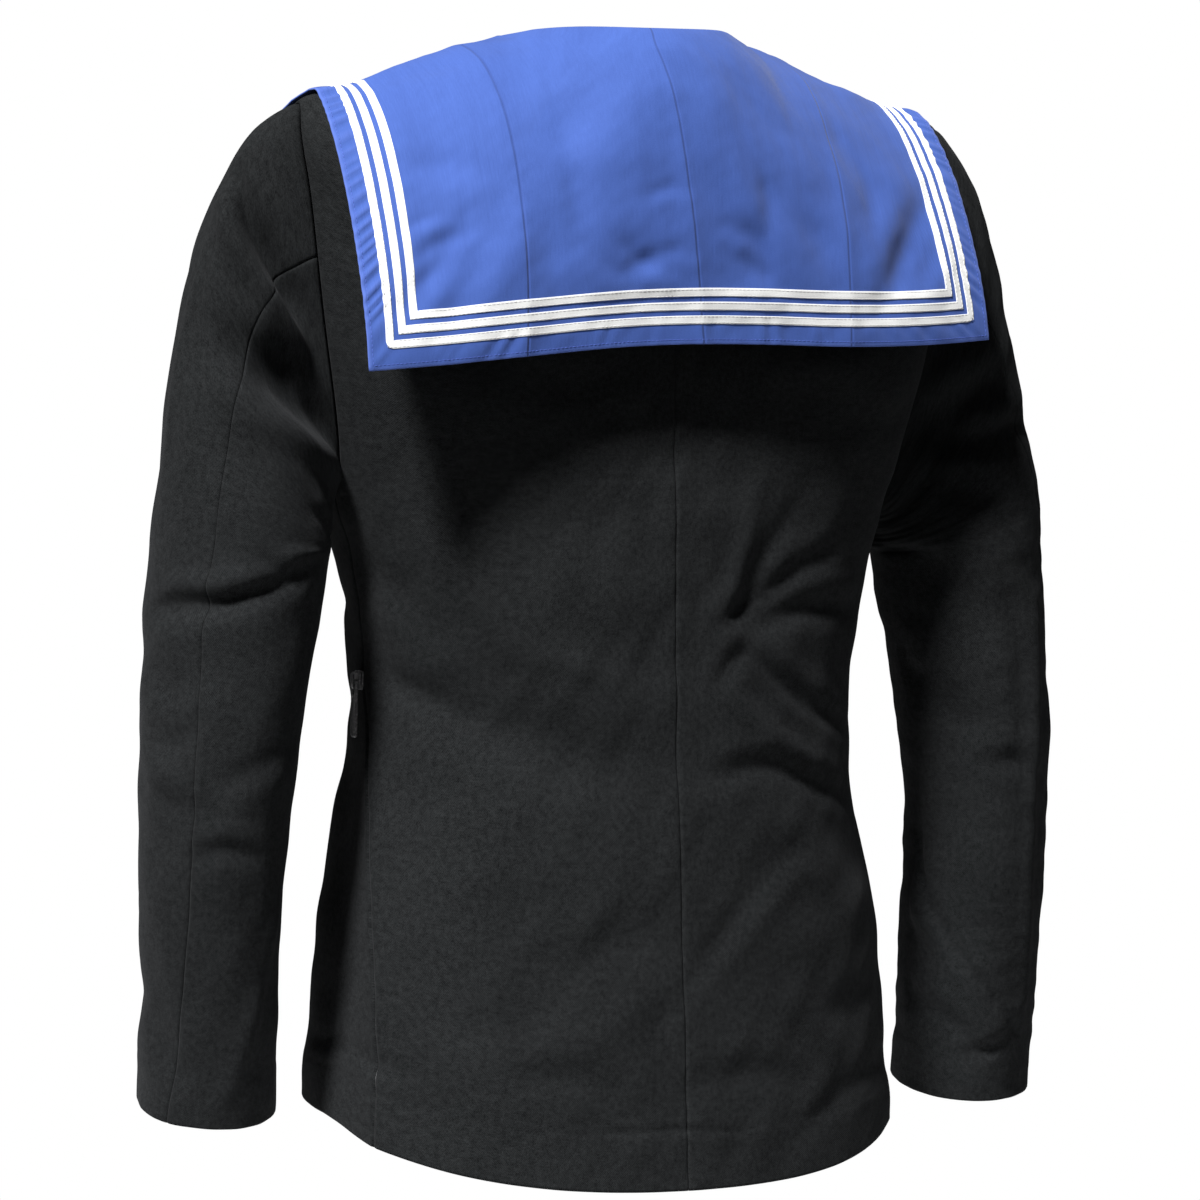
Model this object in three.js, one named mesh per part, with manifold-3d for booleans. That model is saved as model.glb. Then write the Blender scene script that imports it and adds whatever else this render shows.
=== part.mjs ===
// A sailor jumper: a black serge pullover in the naval "square rig" cut, with a broad blue jean collar that
// carries three white tapes.  It stands hollow, as it hangs on the shoulders, with its neck, hem and cuffs
// open.
//
// Frame, in millimetres: +Z is up, the wearer faces -Y and the wearer's left is +X.  The origin is the
// point midway between the two neck ends of the shoulder seams, at their height, where the shoulders carry
// the cloth.
//
// How it is made: the body is one smooth form, cut along the seams into two backs and a front.  Each sleeve
// is a tube lofted from the armhole to the cuff, cut into a top sleeve and an under sleeve.  The collar
// hangs over the shoulders from the neckline, and its tapes are made from its own points, moved out.  Every
// piece of cloth is a thin wall.  The zip in the left side seam shows only by its slider and pull.

import * as THREE from "three";
import { mergeVertices } from "three/addons/utils/BufferGeometryUtils.js";
import Module from "manifold-3d";

const wasm = await Module();
wasm.setup();

// A table as a list of rows with named columns.
function rows(names, values) {
  const columns = names.split(" ");
  return values.map((row) => Object.fromEntries(columns.map((name, i) => [name, row[i]])));
}

// ------------------------------------------------------------------------------------------- driving sizes
const SERGE = 1.8; // thickness of the body and sleeve cloth
const JEAN = 1.2; // thickness of the doubled collar cloth
const TAPE = 0.7; // thickness of a collar tape
const SEAM = 0.36; // gap between two pieces that are sewn together

// Heights along the side of the body: up the side seam, the armhole and the shoulder seam.
const ARMPIT = 372;
const TIP = 590; // outer end of the shoulder seam
const NECK = 733; // neck end of the shoulder seam
const V_POINT = 398; // point of the V neck, on the centre front
const NECK_HALF = 65.6; // half width of the V neck at the shoulder seams
const ARMHOLE_BACK = 8; // how far round the body the armhole reaches behind the side seam, degrees
const ARMHOLE_FRONT = 17; // and in front of it
const SEAM_SWING = 19; // how far behind the sides of the body the side seams end at the hem, degrees
const ARMHOLE_EGG = 0.2; // how much fuller the armhole is low down than high up

// The body form, ring by ring.  side, back, front: level of the ring there.  half: half width.  back_y,
// front_y, side_y: how far back those points are.  square: fullness of the corners, 2 for an ellipse.
// lean: how much the left side rises over the right, for each millimetre across.
const BODY = rows("up side back front half back_y front_y side_y square lean", [
  [0, -617, -652, -606, 175, 133, -120, 6, 2.3, 0],
  [100, -526, -545, -516, 168, 124, -116, 2, 2.3, 0],
  [185, -445, -453, -438, 156, 114, -108, -2, 2.3, 0],
  [245, -386, -390, -382, 150, 108, -104, 0, 2.3, 0],
  [310, -322, -325, -320, 156, 103, -106, 5, 2.35, 0],
  [372, -260, -264, -262, 173, 100, -112, 8, 2.4, 0],
  [466, -165, -184, -180, 196, 95, -114, 12, 2.7, 0.01],
  [545, -84, -123, -124, 204, 89, -104, 17, 2.8, 0.012],
  [590, -42, -90, -93, 203, 83, -88, 20, 2.6, 0.015],
  [625, -33, -70, -79, 168, 80, -82, 17, 2.4, 0.015],
  [660, -21, -51, -68, 136, 76, -74, 12, 2.3, 0.013],
  [733, 0, -22, -52, 66, 67, -60, 0, 2.1, 0],
]);
const SLOPE = 1.25; // how the level of a ring falls from its side: 1 at once, more the later

// Each arm.  side: 1 for the left, -1 for the right.  full: how far the cap of the sleeve stands out from
// the shoulder.  rings: from the upper arm to the cuff.  down: distance along the arm.  x, y, z: centre of
// the ring, with x outwards.  half: half width across the arm.  deep: half depth from front to back.
const LEFT = {
  name: "left",
  side: 1,
  full: 0.8,
  rings: rows("down x y z half deep", [
    [0, 229, 4, -292, 49, 64],
    [90, 240, 8, -382, 45, 60],
    [170, 244, 6, -462, 40, 55],
    [250, 240, -4, -542, 38, 49],
    [322, 237, -16, -613, 38, 46],
  ]),
};
const RIGHT = {
  name: "right",
  side: -1,
  full: 0.4,
  rings: rows("down x y z half deep", [
    [0, 232, 4, -292, 49, 64],
    [90, 245, 5, -382, 42, 60],
    [170, 252, 2, -462, 39, 54],
    [250, 254, -8, -542, 40, 49],
    [331, 256, -19, -622, 39, 46],
  ]),
};
// Where the back and the front seam of a sleeve lie, in degrees round it, from the armhole (down -1) to the
// cuff.
const SLEEVE_SEAMS = rows("down hindarm forearm", [
  [-1, 165, -15],
  [-0.5, 149, -25],
  [0, 137, -35],
  [170, 136, -38],
  [340, 120, -32],
]);

// The collar behind the shoulders, in slices from its right edge to its left.  a: place across.  edge_y,
// edge_z: the lower edge.  square: fullness of the round from the shoulder ridge down to it.
const COLLAR = rows("a edge_y edge_z square", [
  [-200, 101, -168, 1.45],
  [-150, 113, -171, 1.7],
  [-100, 118, -172, 2.1],
  [-45, 120, -171, 2.8],
  [0, 120, -171, 3.0],
  [45, 120, -173, 2.8],
  [100, 121, -178, 2.1],
  [150, 122, -183, 1.6],
  [200, 123, -187, 1.3],
]);
const HALF_LOW = 200; // half width of the collar at its lower edge
const HALF_HIGH = 193; // and on the shoulders
const COLLAR_LIFT = 4; // how far its face stands off the body on the shoulders and the chest
const NECK_RIDGE = { y: 10, z: 22 }; // where the slices would meet over the middle of the neck
const ROLL_HALF = 72; // half width of the line where the collar rolls over into its stand
const ROLL_BACK = 88; // how far back that line lies at the centre back
const ROLL_HIGH = 84; // how strongly the roll stands up there
const CORNER = 48; // degrees round the neck that the lower corners of the collar look to
const STAND_SEAT = 2; // how high the collar is seated over the body's neck edge behind the shoulders
const TAIL_SEAT = 1.6; // and how far clear of the body's cloth in front of them
// The front tails lie on the body, and their inner edges roll over the V neck.
const TAIL_END = { around: -72, up: V_POINT + 2 }; // lower end of the outer edge
const TAIL_INNER_END = V_POINT + 28; // height of the lower end of the inner edge
const TAIL_OVER = 3; // how far the inner edge reaches over the V neck
const TAIL_SETTLE = 0.05; // part of the tail's length in which its inner edge leaves the shoulder seam
const TAPES = [11, 18.6, 26.2]; // how far in from the collar's edge each tape starts
const TAPE_WIDE = 4.9;

// --------------------------------------------------------------------------------------------- small tools
const rad = THREE.MathUtils.degToRad;
const mix = THREE.MathUtils.lerp;
const clamp = THREE.MathUtils.clamp;
const vec = (x, y, z) => new THREE.Vector3(x, y, z);
const steps = (count) => Array.from({ length: count + 1 }, (_, i) => i / count);

// The smooth value of one column of a table at a place between its rows, and straight on past its ends.
function column(table, key, place, name) {
  const last = table.length - 1;
  let i = 0;
  while (i < last - 1 && place > table[i + 1][key]) i++;
  const [a, b, c, d] = [table[Math.max(i - 1, 0)], table[i], table[i + 1], table[Math.min(i + 2, last)]];
  const span = c[key] - b[key];
  const slope = (p, q) => ((q[name] - p[name]) / (q[key] - p[key])) * span;
  const t = (place - b[key]) / span;
  const [start, end] = [slope(a, c), slope(b, d)];
  if (t < 0) return b[name] + start * t;
  if (t > 1) return c[name] + end * (t - 1);
  return (
    (2 * t ** 3 - 3 * t ** 2 + 1) * b[name] +
    (t ** 3 - 2 * t ** 2 + t) * start +
    (3 * t ** 2 - 2 * t ** 3) * c[name] +
    (t ** 3 - t ** 2) * end
  );
}

// A point on the curve that leaves start along out and reaches end along into, at t from 0 to 1.
function hermite(start, out, end, into, t) {
  return start
    .clone()
    .multiplyScalar(2 * t ** 3 - 3 * t ** 2 + 1)
    .addScaledVector(out, t ** 3 - 2 * t ** 2 + t)
    .addScaledVector(end, 3 * t ** 2 - 2 * t ** 3)
    .addScaledVector(into, t ** 3 - t ** 2);
}

// The outward normal of a surface f(a, b) by small steps.  turn is 1 or -1, for the way its sides run.
function normalOf(f, a, b, stepA, stepB, turn) {
  const across = f(a + stepA, b).sub(f(a - stepA, b));
  const along = f(a, b + stepB).sub(f(a, b - stepB));
  return across.cross(along).normalize().multiplyScalar(turn);
}

// The normals of a grid of points, from its own rows and columns.
function gridNormals(points, turn) {
  const rows = points.length;
  const cols = points[0].length;
  return points.map((row, i) =>
    row.map((_, j) => {
      const across = row[Math.min(j + 1, cols - 1)].clone().sub(row[Math.max(j - 1, 0)]);
      const along = points[Math.min(i + 1, rows - 1)][j].clone().sub(points[Math.max(i - 1, 0)][j]);
      return across.cross(along).normalize().multiplyScalar(turn);
    }),
  );
}

// Moves the two side edges of a grid towards its middle by a distance, in the rows where left(i) and
// right(i) say.
function drawSides(points, left, right, by = SEAM / 2) {
  points.forEach((row, i) => {
    const last = row.length - 1;
    const move = (at, next) => row[at].add(row[next].clone().sub(row[at]).setLength(by));
    if (left(i)) move(0, 1);
    if (right(i)) move(last, last - 1);
  });
}

// A closed wall on patches of surface points with their normals.  Patches that share points are one cloth,
// which is thick millimetres deep and lies inside the points.
function wall(name, material, thick, patches, mirrored = false) {
  const place = [];
  const inward = [];
  const known = new Map();
  const vertex = (p, n) => {
    const key = p.toArray().map((v) => v.toFixed(3)).join();
    if (!known.has(key)) {
      known.set(key, place.length);
      place.push(p);
      inward.push(p.clone().addScaledVector(n, -thick));
    }
    return known.get(key);
  };
  const faces = [];
  for (const { points, normals } of patches)
    for (let i = 0; i < points.length - 1; i++)
      for (let j = 0; j < points[0].length - 1; j++) {
        const corner = (di, dj) => vertex(points[i + di][j + dj], normals[i + di][j + dj]);
        const [a, b, c, d] = [corner(0, 0), corner(0, 1), corner(1, 1), corner(1, 0)];
        if (mirrored) faces.push([a, c, b], [a, d, c]);
        else faces.push([a, b, c], [a, c, d]);
      }
  const inner = (v) => v + place.length;
  const index = [];
  const sides = new Set(faces.flatMap(([a, b, c]) => [`${a},${b}`, `${b},${c}`, `${c},${a}`]));
  for (const [a, b, c] of faces) {
    index.push(a, b, c, inner(a), inner(c), inner(b));
    for (const [from, to] of [[a, b], [b, c], [c, a]])
      if (!sides.has(`${to},${from}`)) index.push(to, from, inner(from), to, inner(from), inner(to));
  }
  const geometry = new THREE.BufferGeometry();
  const numbers = [...place, ...inward].flatMap((p) => p.toArray());
  geometry.setAttribute("position", new THREE.Float32BufferAttribute(numbers, 3));
  geometry.setIndex(index);
  geometry.computeVertexNormals();
  const mesh = new THREE.Mesh(geometry, material);
  mesh.name = name;
  return mesh;
}

// ----------------------------------------------------------------------------------------------- materials
const cloth = (color, roughness) => new THREE.MeshStandardMaterial({ color, roughness, metalness: 0 });
const serge = cloth(0x17181c, 0.95);
const jean = cloth(0x4a63b8, 0.85);
const whiteTape = cloth(0xf4f4f2, 0.8);
const zipMetal = new THREE.MeshStandardMaterial({ color: 0x2a2b2e, roughness: 0.45, metalness: 0.8 });

// ----------------------------------------------------------------------------------------------- the folds
// The largest folds of the cloth, each a soft trough along a line, or a ridge where deep is below 0.  On
// the body a place is [degrees round, up]; on a sleeve it is [degrees round, millimetres down from the top
// of the arm].
const BODY_FOLDS = [
  { from: [166, 262], to: [138, 300], wide: 11, deep: 5 },
  { from: [168, 238], to: [128, 236], wide: 9, deep: 4.5 },
  { from: [164, 214], to: [132, 184], wide: 10, deep: 4 },
  { from: [22, 318], to: [62, 262], wide: 16, deep: 4 },
  { from: [60, 70], to: [112, 168], wide: 18, deep: 4 },
  { from: [-36, 262], to: [-70, 300], wide: 14, deep: 4 },
  { from: [-142, 240], to: [-108, 262], wide: 13, deep: 4 },
];
LEFT.folds = [
  { from: [112, -190], to: [150, -112], wide: 19, deep: 7 },
  { from: [150, -112], to: [200, -24], wide: 17, deep: 5 },
  { from: [138, -56], to: [190, -50], wide: 16, deep: 4 },
  { from: [118, 64], to: [205, 40], wide: 15, deep: 4.5 },
  { from: [150, 12], to: [215, -6], wide: 15, deep: 3.5 },
  { from: [140, 208], to: [205, 214], wide: 15, deep: 3 },
  { from: [20, -60], to: [-40, -10], wide: 17, deep: 5 },
  { from: [10, 70], to: [-50, 46], wide: 15, deep: 4 },
];
RIGHT.folds = [
  { from: [140, -92], to: [190, -62], wide: 18, deep: 6 },
  { from: [150, -60], to: [215, -20], wide: 16, deep: 5 },
  { from: [185, 80], to: [235, 196], wide: 18, deep: 4 },
  { from: [130, 60], to: [215, 36], wide: 15, deep: 4 },
  { from: [22, -60], to: [-40, -10], wide: 17, deep: 5 },
  { from: [8, 74], to: [-48, 52], wide: 15, deep: 4 },
];
const BODY_DEGREE = 2.6; // millimetres to a degree round the body
const ARM_DEGREE = 1; // and round an arm
const ARM_SPLIT = 270; // places round an arm run from -90 to this
const CAP_LONG = 230; // length of the sleeve's cap, from the armhole to the top of the arm

// How far the folds of a list push the cloth out at a place.
function foldAt(folds, degree, around, along) {
  let push = 0;
  for (const { from, to, wide, deep } of folds) {
    const line = [(to[0] - from[0]) * degree, to[1] - from[1]];
    const off = [(around - from[0]) * degree, along - from[1]];
    const t = clamp((off[0] * line[0] + off[1] * line[1]) / (line[0] ** 2 + line[1] ** 2), 0, 1);
    const away = Math.hypot(off[0] - t * line[0], off[1] - t * line[1]) / wide;
    push -= deep * Math.exp(-away * away);
  }
  return push;
}

// ------------------------------------------------------------------------------------------------ the body
// A point of the body form.  around: 0 at the left side, 90 at the centre back, 180 at the right, -90 in
// front.
function bodyAt(around, up) {
  const at = (name) => column(BODY, "up", up, name);
  const c = Math.cos(rad(around));
  const s = Math.sin(rad(around));
  const depth = Math.abs(at(s >= 0 ? "back_y" : "front_y") - at("side_y"));
  const n = at("square");
  const radius = (Math.abs(c / at("half")) ** n + Math.abs(s / depth) ** n) ** (-1 / n);
  const fall = (at(s >= 0 ? "back" : "front") - at("side")) * Math.abs((radius * s) / depth) ** SLOPE;
  return vec(radius * c, at("side_y") + radius * s, at("side") + fall + at("lean") * radius * c);
}
const bodyNormal = (around, up) => normalOf(bodyAt, around, up, 0.05, 0.1, 1);

// How far the armhole reaches from the side line, in degrees, at a height.
function armhole(reach, up) {
  const level = clamp((2 * (up - ARMPIT)) / (TIP - ARMPIT) - 1, -1, 1);
  return reach * Math.sqrt(1 - level * level) * (1 - ARMHOLE_EGG * level);
}

// How far the V neck reaches from the centre front, in degrees, at a height.  Seen from the front its edge
// is straight.  over: how far inside that edge, in millimetres.
function vNeck(up, over = 0) {
  const at = (name) => column(BODY, "up", up, name);
  const across = Math.max(NECK_HALF * clamp((up - V_POINT) / (NECK - V_POINT), 0, 1) - over, 0);
  const n = at("square");
  const forward = (at("side_y") - at("front_y")) * (1 - (across / at("half")) ** n) ** (1 / n);
  return THREE.MathUtils.radToDeg(Math.atan2(across, forward));
}

// The heights of the rows of a body panel: even below the armhole, matched to the sleeve's points beside
// it.
const ARMHOLE_STEP = 15; // degrees round the armhole from point to point
const ROWS = [
  ...steps(13).slice(0, -1).map((t) => mix(0, ARMPIT, t)),
  ...steps(180 / ARMHOLE_STEP).map((t) => mix(ARMPIT, TIP, (1 - Math.cos(Math.PI * t)) / 2)),
  ...steps(5).slice(1).map((t) => mix(TIP, NECK, t)),
];

// Where the left side seam runs at a height: straight down to the zip, then swinging to the back.
function sideSeam(up) {
  return SEAM_SWING * (1 - clamp(up / ZIP_UP, 0, 1) ** 2);
}

// One patch of the body, from the edge given by start(up) round to the one given by end(up), in degrees.
function bodyPatch(start, end, cols, drawn) {
  const grid = (f) => ROWS.map((up) => steps(cols).map((t) => f(mix(start(up), end(up), t), up)));
  const points = grid((around, up) => {
    const push = foldAt(BODY_FOLDS, BODY_DEGREE, around < -180 ? around + 360 : around, up);
    return bodyAt(around, up).addScaledVector(bodyNormal(around, up), push);
  });
  const sewn = (i) => ROWS[i] <= ARMPIT || ROWS[i] >= TIP;
  drawSides(points, (i) => drawn[0](i, sewn), (i) => drawn[1](i, sewn));
  return { points, normals: grid(bodyNormal) };
}

function buildBody() {
  const side = (i, sewn) => sewn(i);
  const always = () => true;
  const never = () => false;
  const toBack = (up) => armhole(ARMHOLE_BACK, up) + sideSeam(up);
  const [toFront, toNeck] = [(up) => armhole(ARMHOLE_FRONT, up) - sideSeam(up), (up) => 90 + vNeck(up)];
  const backLeft = bodyPatch(toBack, () => 90, 12, [side, always]);
  const backRight = bodyPatch(() => 90, (up) => 180 - toBack(up), 12, [always, side]);
  const frontRight = bodyPatch((up) => toFront(up) - 180, (up) => -toNeck(up), 10, [side, never]);
  const frontLeft = bodyPatch((up) => toNeck(up) - 180, (up) => -toFront(up), 10, [never, side]);
  return [
    wall("back_left", serge, SERGE, [backLeft]),
    wall("back_right", serge, SERGE, [backRight]),
    wall("front", serge, SERGE, [frontRight, frontLeft]),
  ];
}

// --------------------------------------------------------------------------------------------- the sleeves
// A point of the armhole, clear of the body by a seam.  turn: 90 at the shoulder tip, 180 at the back, -90
// at the armpit, 0 at the front.
function armholeAt(side, turn) {
  const up = mix(ARMPIT, TIP, (1 + Math.sin(rad(turn))) / 2);
  const behind = Math.cos(rad(turn)) < 0;
  const reach = behind ? armhole(ARMHOLE_BACK, up) : -armhole(ARMHOLE_FRONT, up);
  const p = bodyAt(side > 0 ? reach : 180 - reach, up);
  p.x += side * SEAM;
  return p;
}

// A point of the sleeve below its cap, and the direction of the arm there.
function armRing({ side, rings }, down, turn) {
  const at = (name, place) => column(rings, "down", place, name);
  const centreAt = (place) => vec(side * at("x", place), at("y", place), at("z", place));
  const along = centreAt(down + 5).sub(centreAt(down)).normalize();
  const out = vec(side, 0, 0).addScaledVector(along, -side * along.x).normalize();
  const front = along.clone().cross(out).multiplyScalar(side);
  const point = centreAt(down)
    .addScaledVector(out, at("half", down) * Math.sin(rad(turn)))
    .addScaledVector(front, at("deep", down) * Math.cos(rad(turn)));
  return { point, along };
}

// A point of a sleeve.  turn as in armholeAt.  down: from -1 at the armhole to 0 on the cap, then along the
// arm.
function sleeveAt(arm, turn, down) {
  if (down >= 0) return armRing(arm, down, turn).point;
  const start = armholeAt(arm.side, turn);
  const { point: end, along } = armRing(arm, 0, turn);
  const chord = end.distanceTo(start);
  const high = (1 + Math.sin(rad(turn))) / 2;
  const out = vec(arm.side * mix(0.3, 1, high), 0, mix(-1, -0.3, high ** 1.5));
  out.setLength(chord * mix(1, arm.full, high));
  return hermite(start, out, end, along.multiplyScalar(chord * 1.05), down + 1);
}

// A point of the sleeve's cloth, with its folds, and its normal.
function sleeveCloth(arm, turn, down) {
  const f = (a, b) => sleeveAt(arm, a, b);
  const step = down < 0 ? 0.01 : 1;
  const normal = normalOf(f, turn, Math.max(down, step - 1), 0.1, step, -arm.side);
  const along = down < 0 ? down * CAP_LONG : down;
  const settle = down < 0 ? clamp((down + 1) / 0.15, 0, 1) : 1;
  const push = settle * foldAt(arm.folds, ARM_DEGREE, turn > ARM_SPLIT ? turn - 360 : turn, along);
  return { point: f(turn, down).addScaledVector(normal, push), normal };
}

// The top sleeve runs from the front seam over the arm to the back seam, and the under sleeve back below
// it.
function buildSleeve(arm) {
  const cuff = arm.rings.at(-1).down;
  const levels = [...steps(12).map((t) => mix(cuff, 0, t)), ...steps(8).slice(1).map((t) => -t)];
  const seam = (down, key) => column(SLEEVE_SEAMS, "down", down, key);
  const half = (part, start, end) => {
    const turns = (down) => steps(12).map((t) => mix(start(down), end(down), t));
    const cells = levels.map((down) => turns(down).map((turn) => sleeveCloth(arm, turn, down)));
    const points = cells.map((row) => row.map((cell) => cell.point));
    drawSides(points, () => true, () => true, SEAM);
    const normals = cells.map((row) => row.map((cell) => cell.normal));
    return wall(`sleeve_${part}_${arm.name}`, serge, SERGE, [{ points, normals }], arm.side < 0);
  };
  return [
    half("top", (down) => seam(down, "forearm"), (down) => seam(down, "hindarm")),
    half("under", (down) => seam(down, "hindarm"), (down) => seam(down, "forearm") + 360),
  ];
}

// ---------------------------------------------------------------------------------------------- the collar
// The body's shoulder seam at a distance across: its side, its height and the collar's ridge over it.
function ridgeAt(a) {
  const around = a < 0 ? 180 : 0;
  let [low, high] = [TIP - 30, NECK];
  for (let k = 0; k < 30; k++) {
    const up = (low + high) / 2;
    if (Math.abs(bodyAt(around, up).x) > Math.abs(a)) low = up;
    else high = up;
  }
  return { up: low, point: bodyAt(around, low).addScaledVector(bodyNormal(around, low), COLLAR_LIFT) };
}

// One slice of the collar behind the shoulders, from its lower edge up to the ridge, with the distance b
// from the lower edge at each of its points.
const slices = new Map();
function sliceAt(a) {
  const key = a.toFixed(3);
  if (slices.has(key)) return slices.get(key);
  const at = (name) => column(COLLAR, "a", a, name);
  const inside = clamp(1 - Math.abs(a) / ROLL_HALF, 0, 1);
  const ridge = ridgeAt(Math.sign(a || 1) * Math.max(Math.abs(a), ROLL_HALF)).point;
  const blend = 1 - (1 - inside) ** 2;
  const top = { y: mix(ridge.y, NECK_RIDGE.y, blend), z: mix(ridge.z, NECK_RIDGE.z, blend) };
  const path = steps(48).map((t) => {
    const w = (Math.PI / 2) * (1 - t);
    const y = mix(top.y, at("edge_y"), Math.sin(w) ** (2 / at("square")));
    return { b: 0, p: vec(a, y, mix(at("edge_z"), top.z, Math.cos(w) ** (2 / at("square")))) };
  });
  for (let k = 1; k < path.length; k++) path[k].b = path[k - 1].b + path[k].p.distanceTo(path[k - 1].p);
  slices.set(key, path);
  return path;
}

// The two points of a slice that a limit lies between: the last before passed(point) is true, and the next.
function bracket(path, passed) {
  const k = path.findIndex(passed);
  return k < 0 ? path.slice(-2) : path.slice(Math.max(k, 1) - 1, Math.max(k, 1) + 1);
}

// The point of the collar behind the shoulders at a place across, b up its slice.
function collarAt(a, b) {
  const [before, after] = bracket(sliceAt(a), (step) => step.b >= b);
  return before.p.clone().lerp(after.p, (b - before.b) / (after.b - before.b));
}
const lengthAt = (a) => sliceAt(a).at(-1).b;

// Where the collar rolls over, at a direction round the back of the neck in degrees from its side.  rise:
// how far up its slice, from 0 at the lower edge to 1 on the ridge.
function rollAt(side, psi) {
  const a = side * ROLL_HALF * Math.cos(rad(psi));
  const y = mix(sliceAt(a).at(-1).p.y, ROLL_BACK, Math.sin(rad(psi)));
  const [before, after] = bracket(sliceAt(a), (step) => step.p.y <= y);
  const b = mix(before.b, after.b, (y - before.p.y) / (after.p.y - before.p.y));
  return { a, rise: b / lengthAt(a) };
}

// How far in from the collar's edge its rows lie: along the tapes, and then evenly on to the roll.
const TAPE_ROWS = [0, ...TAPES.flatMap((start) => [start, start + TAPE_WIDE])];
const FIELD_ROWS = steps(6).slice(1);
const ROLL_ROWS = steps(5).slice(1);

// One column of the collar, from its edge to the neckline.  station: 0 at the middle of the lower edge, 1
// at its corner, 2 on the shoulder, 3 at the end of the front tail.  side: 1 for the left, -1 for the
// right.
function collarColumn(side, station) {
  return station <= 2 ? backColumn(side, station) : tailColumn(side, station - 2);
}

function backColumn(side, station) {
  const psi = station < 1 ? mix(90, CORNER, station) : mix(CORNER, 0, station - 1);
  const edge = (d) => {
    if (station <= 1) return { a: side * station * (HALF_LOW - d), b: d };
    const a = side * (mix(HALF_LOW, HALF_HIGH, station - 1) - d);
    return { a, b: mix(d, lengthAt(a), station - 1) };
  };
  const points = TAPE_ROWS.map((d) => collarAt(edge(d).a, edge(d).b));
  const from = edge(TAPE_ROWS.at(-1));
  const to = rollAt(side, psi);
  for (const t of FIELD_ROWS) {
    const a = mix(from.a, to.a, t);
    points.push(collarAt(a, lengthAt(a) * mix(from.b / lengthAt(from.a), to.rise, t)));
  }
  const facing = side > 0 ? psi : 180 - psi;
  const seat = bodyAt(facing, NECK).addScaledVector(bodyNormal(facing, NECK), -SERGE / 2);
  return rollOver(points, seat.add(vec(0, 0, STAND_SEAT)), Math.sin(rad(psi)), vec(0, 0, -1));
}

function tailColumn(side, t) {
  const settle = clamp(t / TAIL_SETTLE, 0, 1);
  const place = ({ around, up }) => ({ around: side > 0 ? around : 180 - around, up });
  const outer = { around: TAIL_END.around * t ** 0.8, up: mix(ridgeAt(HALF_HIGH).up, TAIL_END.up, t) };
  const innerUp = mix(ridgeAt(ROLL_HALF).up, TAIL_INNER_END, t);
  const inner = { around: (vNeck(innerUp, TAIL_OVER) - 90) * settle, up: innerUp };
  const lifted = (at, lift) => {
    const { around, up } = place(at);
    return bodyAt(around, up).addScaledVector(bodyNormal(around, up), lift);
  };
  const between = (w) => ({ around: mix(outer.around, inner.around, w), up: mix(outer.up, inner.up, w) });
  const wide = lifted(outer, 0).distanceTo(lifted(inner, 0));
  const points = TAPE_ROWS.map((d) => lifted(between(d / wide), COLLAR_LIFT));
  const start = TAPE_ROWS.at(-1) / wide;
  for (const w of FIELD_ROWS) points.push(lifted(between(mix(start, 1, w)), COLLAR_LIFT));
  const neck = { around: (vNeck(innerUp) - 90) * settle, up: mix(NECK, innerUp, settle) };
  return rollOver(points, lifted(neck, JEAN + TAIL_SEAT), 0, lifted(neck, -JEAN).sub(lifted(neck, 0)));
}

// Adds the roll from the last of the points over to its seat on the neckline.
function rollOver(points, seat, high, into) {
  const start = points.at(-1);
  const out = start.clone().sub(points.at(-2)).setLength(mix(9, ROLL_HIGH, high));
  const down = into.clone().setLength(mix(9, ROLL_HIGH, high));
  return [...points, ...ROLL_ROWS.map((t) => hermite(start, out, seat, down, t))];
}

function buildCollar() {
  const half = [
    ...steps(8),
    ...steps(7).slice(1).map((t) => 1 + t),
    ...steps(10).slice(1).map((t) => 2 + t ** 1.6),
  ];
  const columns = [
    ...half.toReversed().map((station) => collarColumn(1, station)),
    ...half.slice(1).map((station) => collarColumn(-1, station)),
  ];
  const points = columns[0].map((_, i) => columns.map((col) => col[i]));
  const normals = gridNormals(points, 1);
  const tapes = ["outer", "middle", "inner"].map((name, k) => {
    const edges = [1 + 2 * k, 2 + 2 * k];
    const lift = SEAM + TAPE;
    const strip = edges.map((i) => points[i].map((p, j) => p.clone().addScaledVector(normals[i][j], lift)));
    return wall(`tape_${name}`, whiteTape, TAPE, [{ points: strip, normals: edges.map((i) => normals[i]) }]);
  });
  return [wall("collar", jean, JEAN, [{ points, normals }]), ...tapes];
}

// ----------------------------------------------------------------------------------------------------- zip
// The zip is set under the left side seam.  Its slider sits on the seam at the waist and the pull hangs
// from it. In the slider's own frame +X points out from the cloth, +Y to the back and +Z up, with the cloth
// at x = 0.
const ZIP_UP = 262; // height of the pull's hinge, up the side seam
const ZIP_STAND = 0.6; // how far the slider stands off the waist, which widens above and below it
const SLIDER = { tall: 11, top_wide: 8.6, low_wide: 6.4, face: 2.8, round: 1.5 };
const BAIL = { tall: 10.4, wide: 2, under: 5.8, thick: 1.1, base: 2.6 }; // the arch that the pull hangs in
const PIN = { x: 4.3, half: 0.7 }; // the pull's crossbar inside the bail, and half its height
const PULL = { long: 33, wide: 6.8, thick: 1.8, slot_wide: 3, slot_long: 7.6 }; // hangs on its slot's head

function toManifold(geometry) {
  const plain = geometry.clone();
  plain.deleteAttribute("normal");
  plain.deleteAttribute("uv");
  const merged = mergeVertices(plain, 1e-4);
  const points = new Float32Array(merged.attributes.position.array);
  const triangles = new Uint32Array(merged.index.array);
  return new wasm.Manifold(new wasm.Mesh({ numProp: 3, vertProperties: points, triVerts: triangles }));
}

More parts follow.
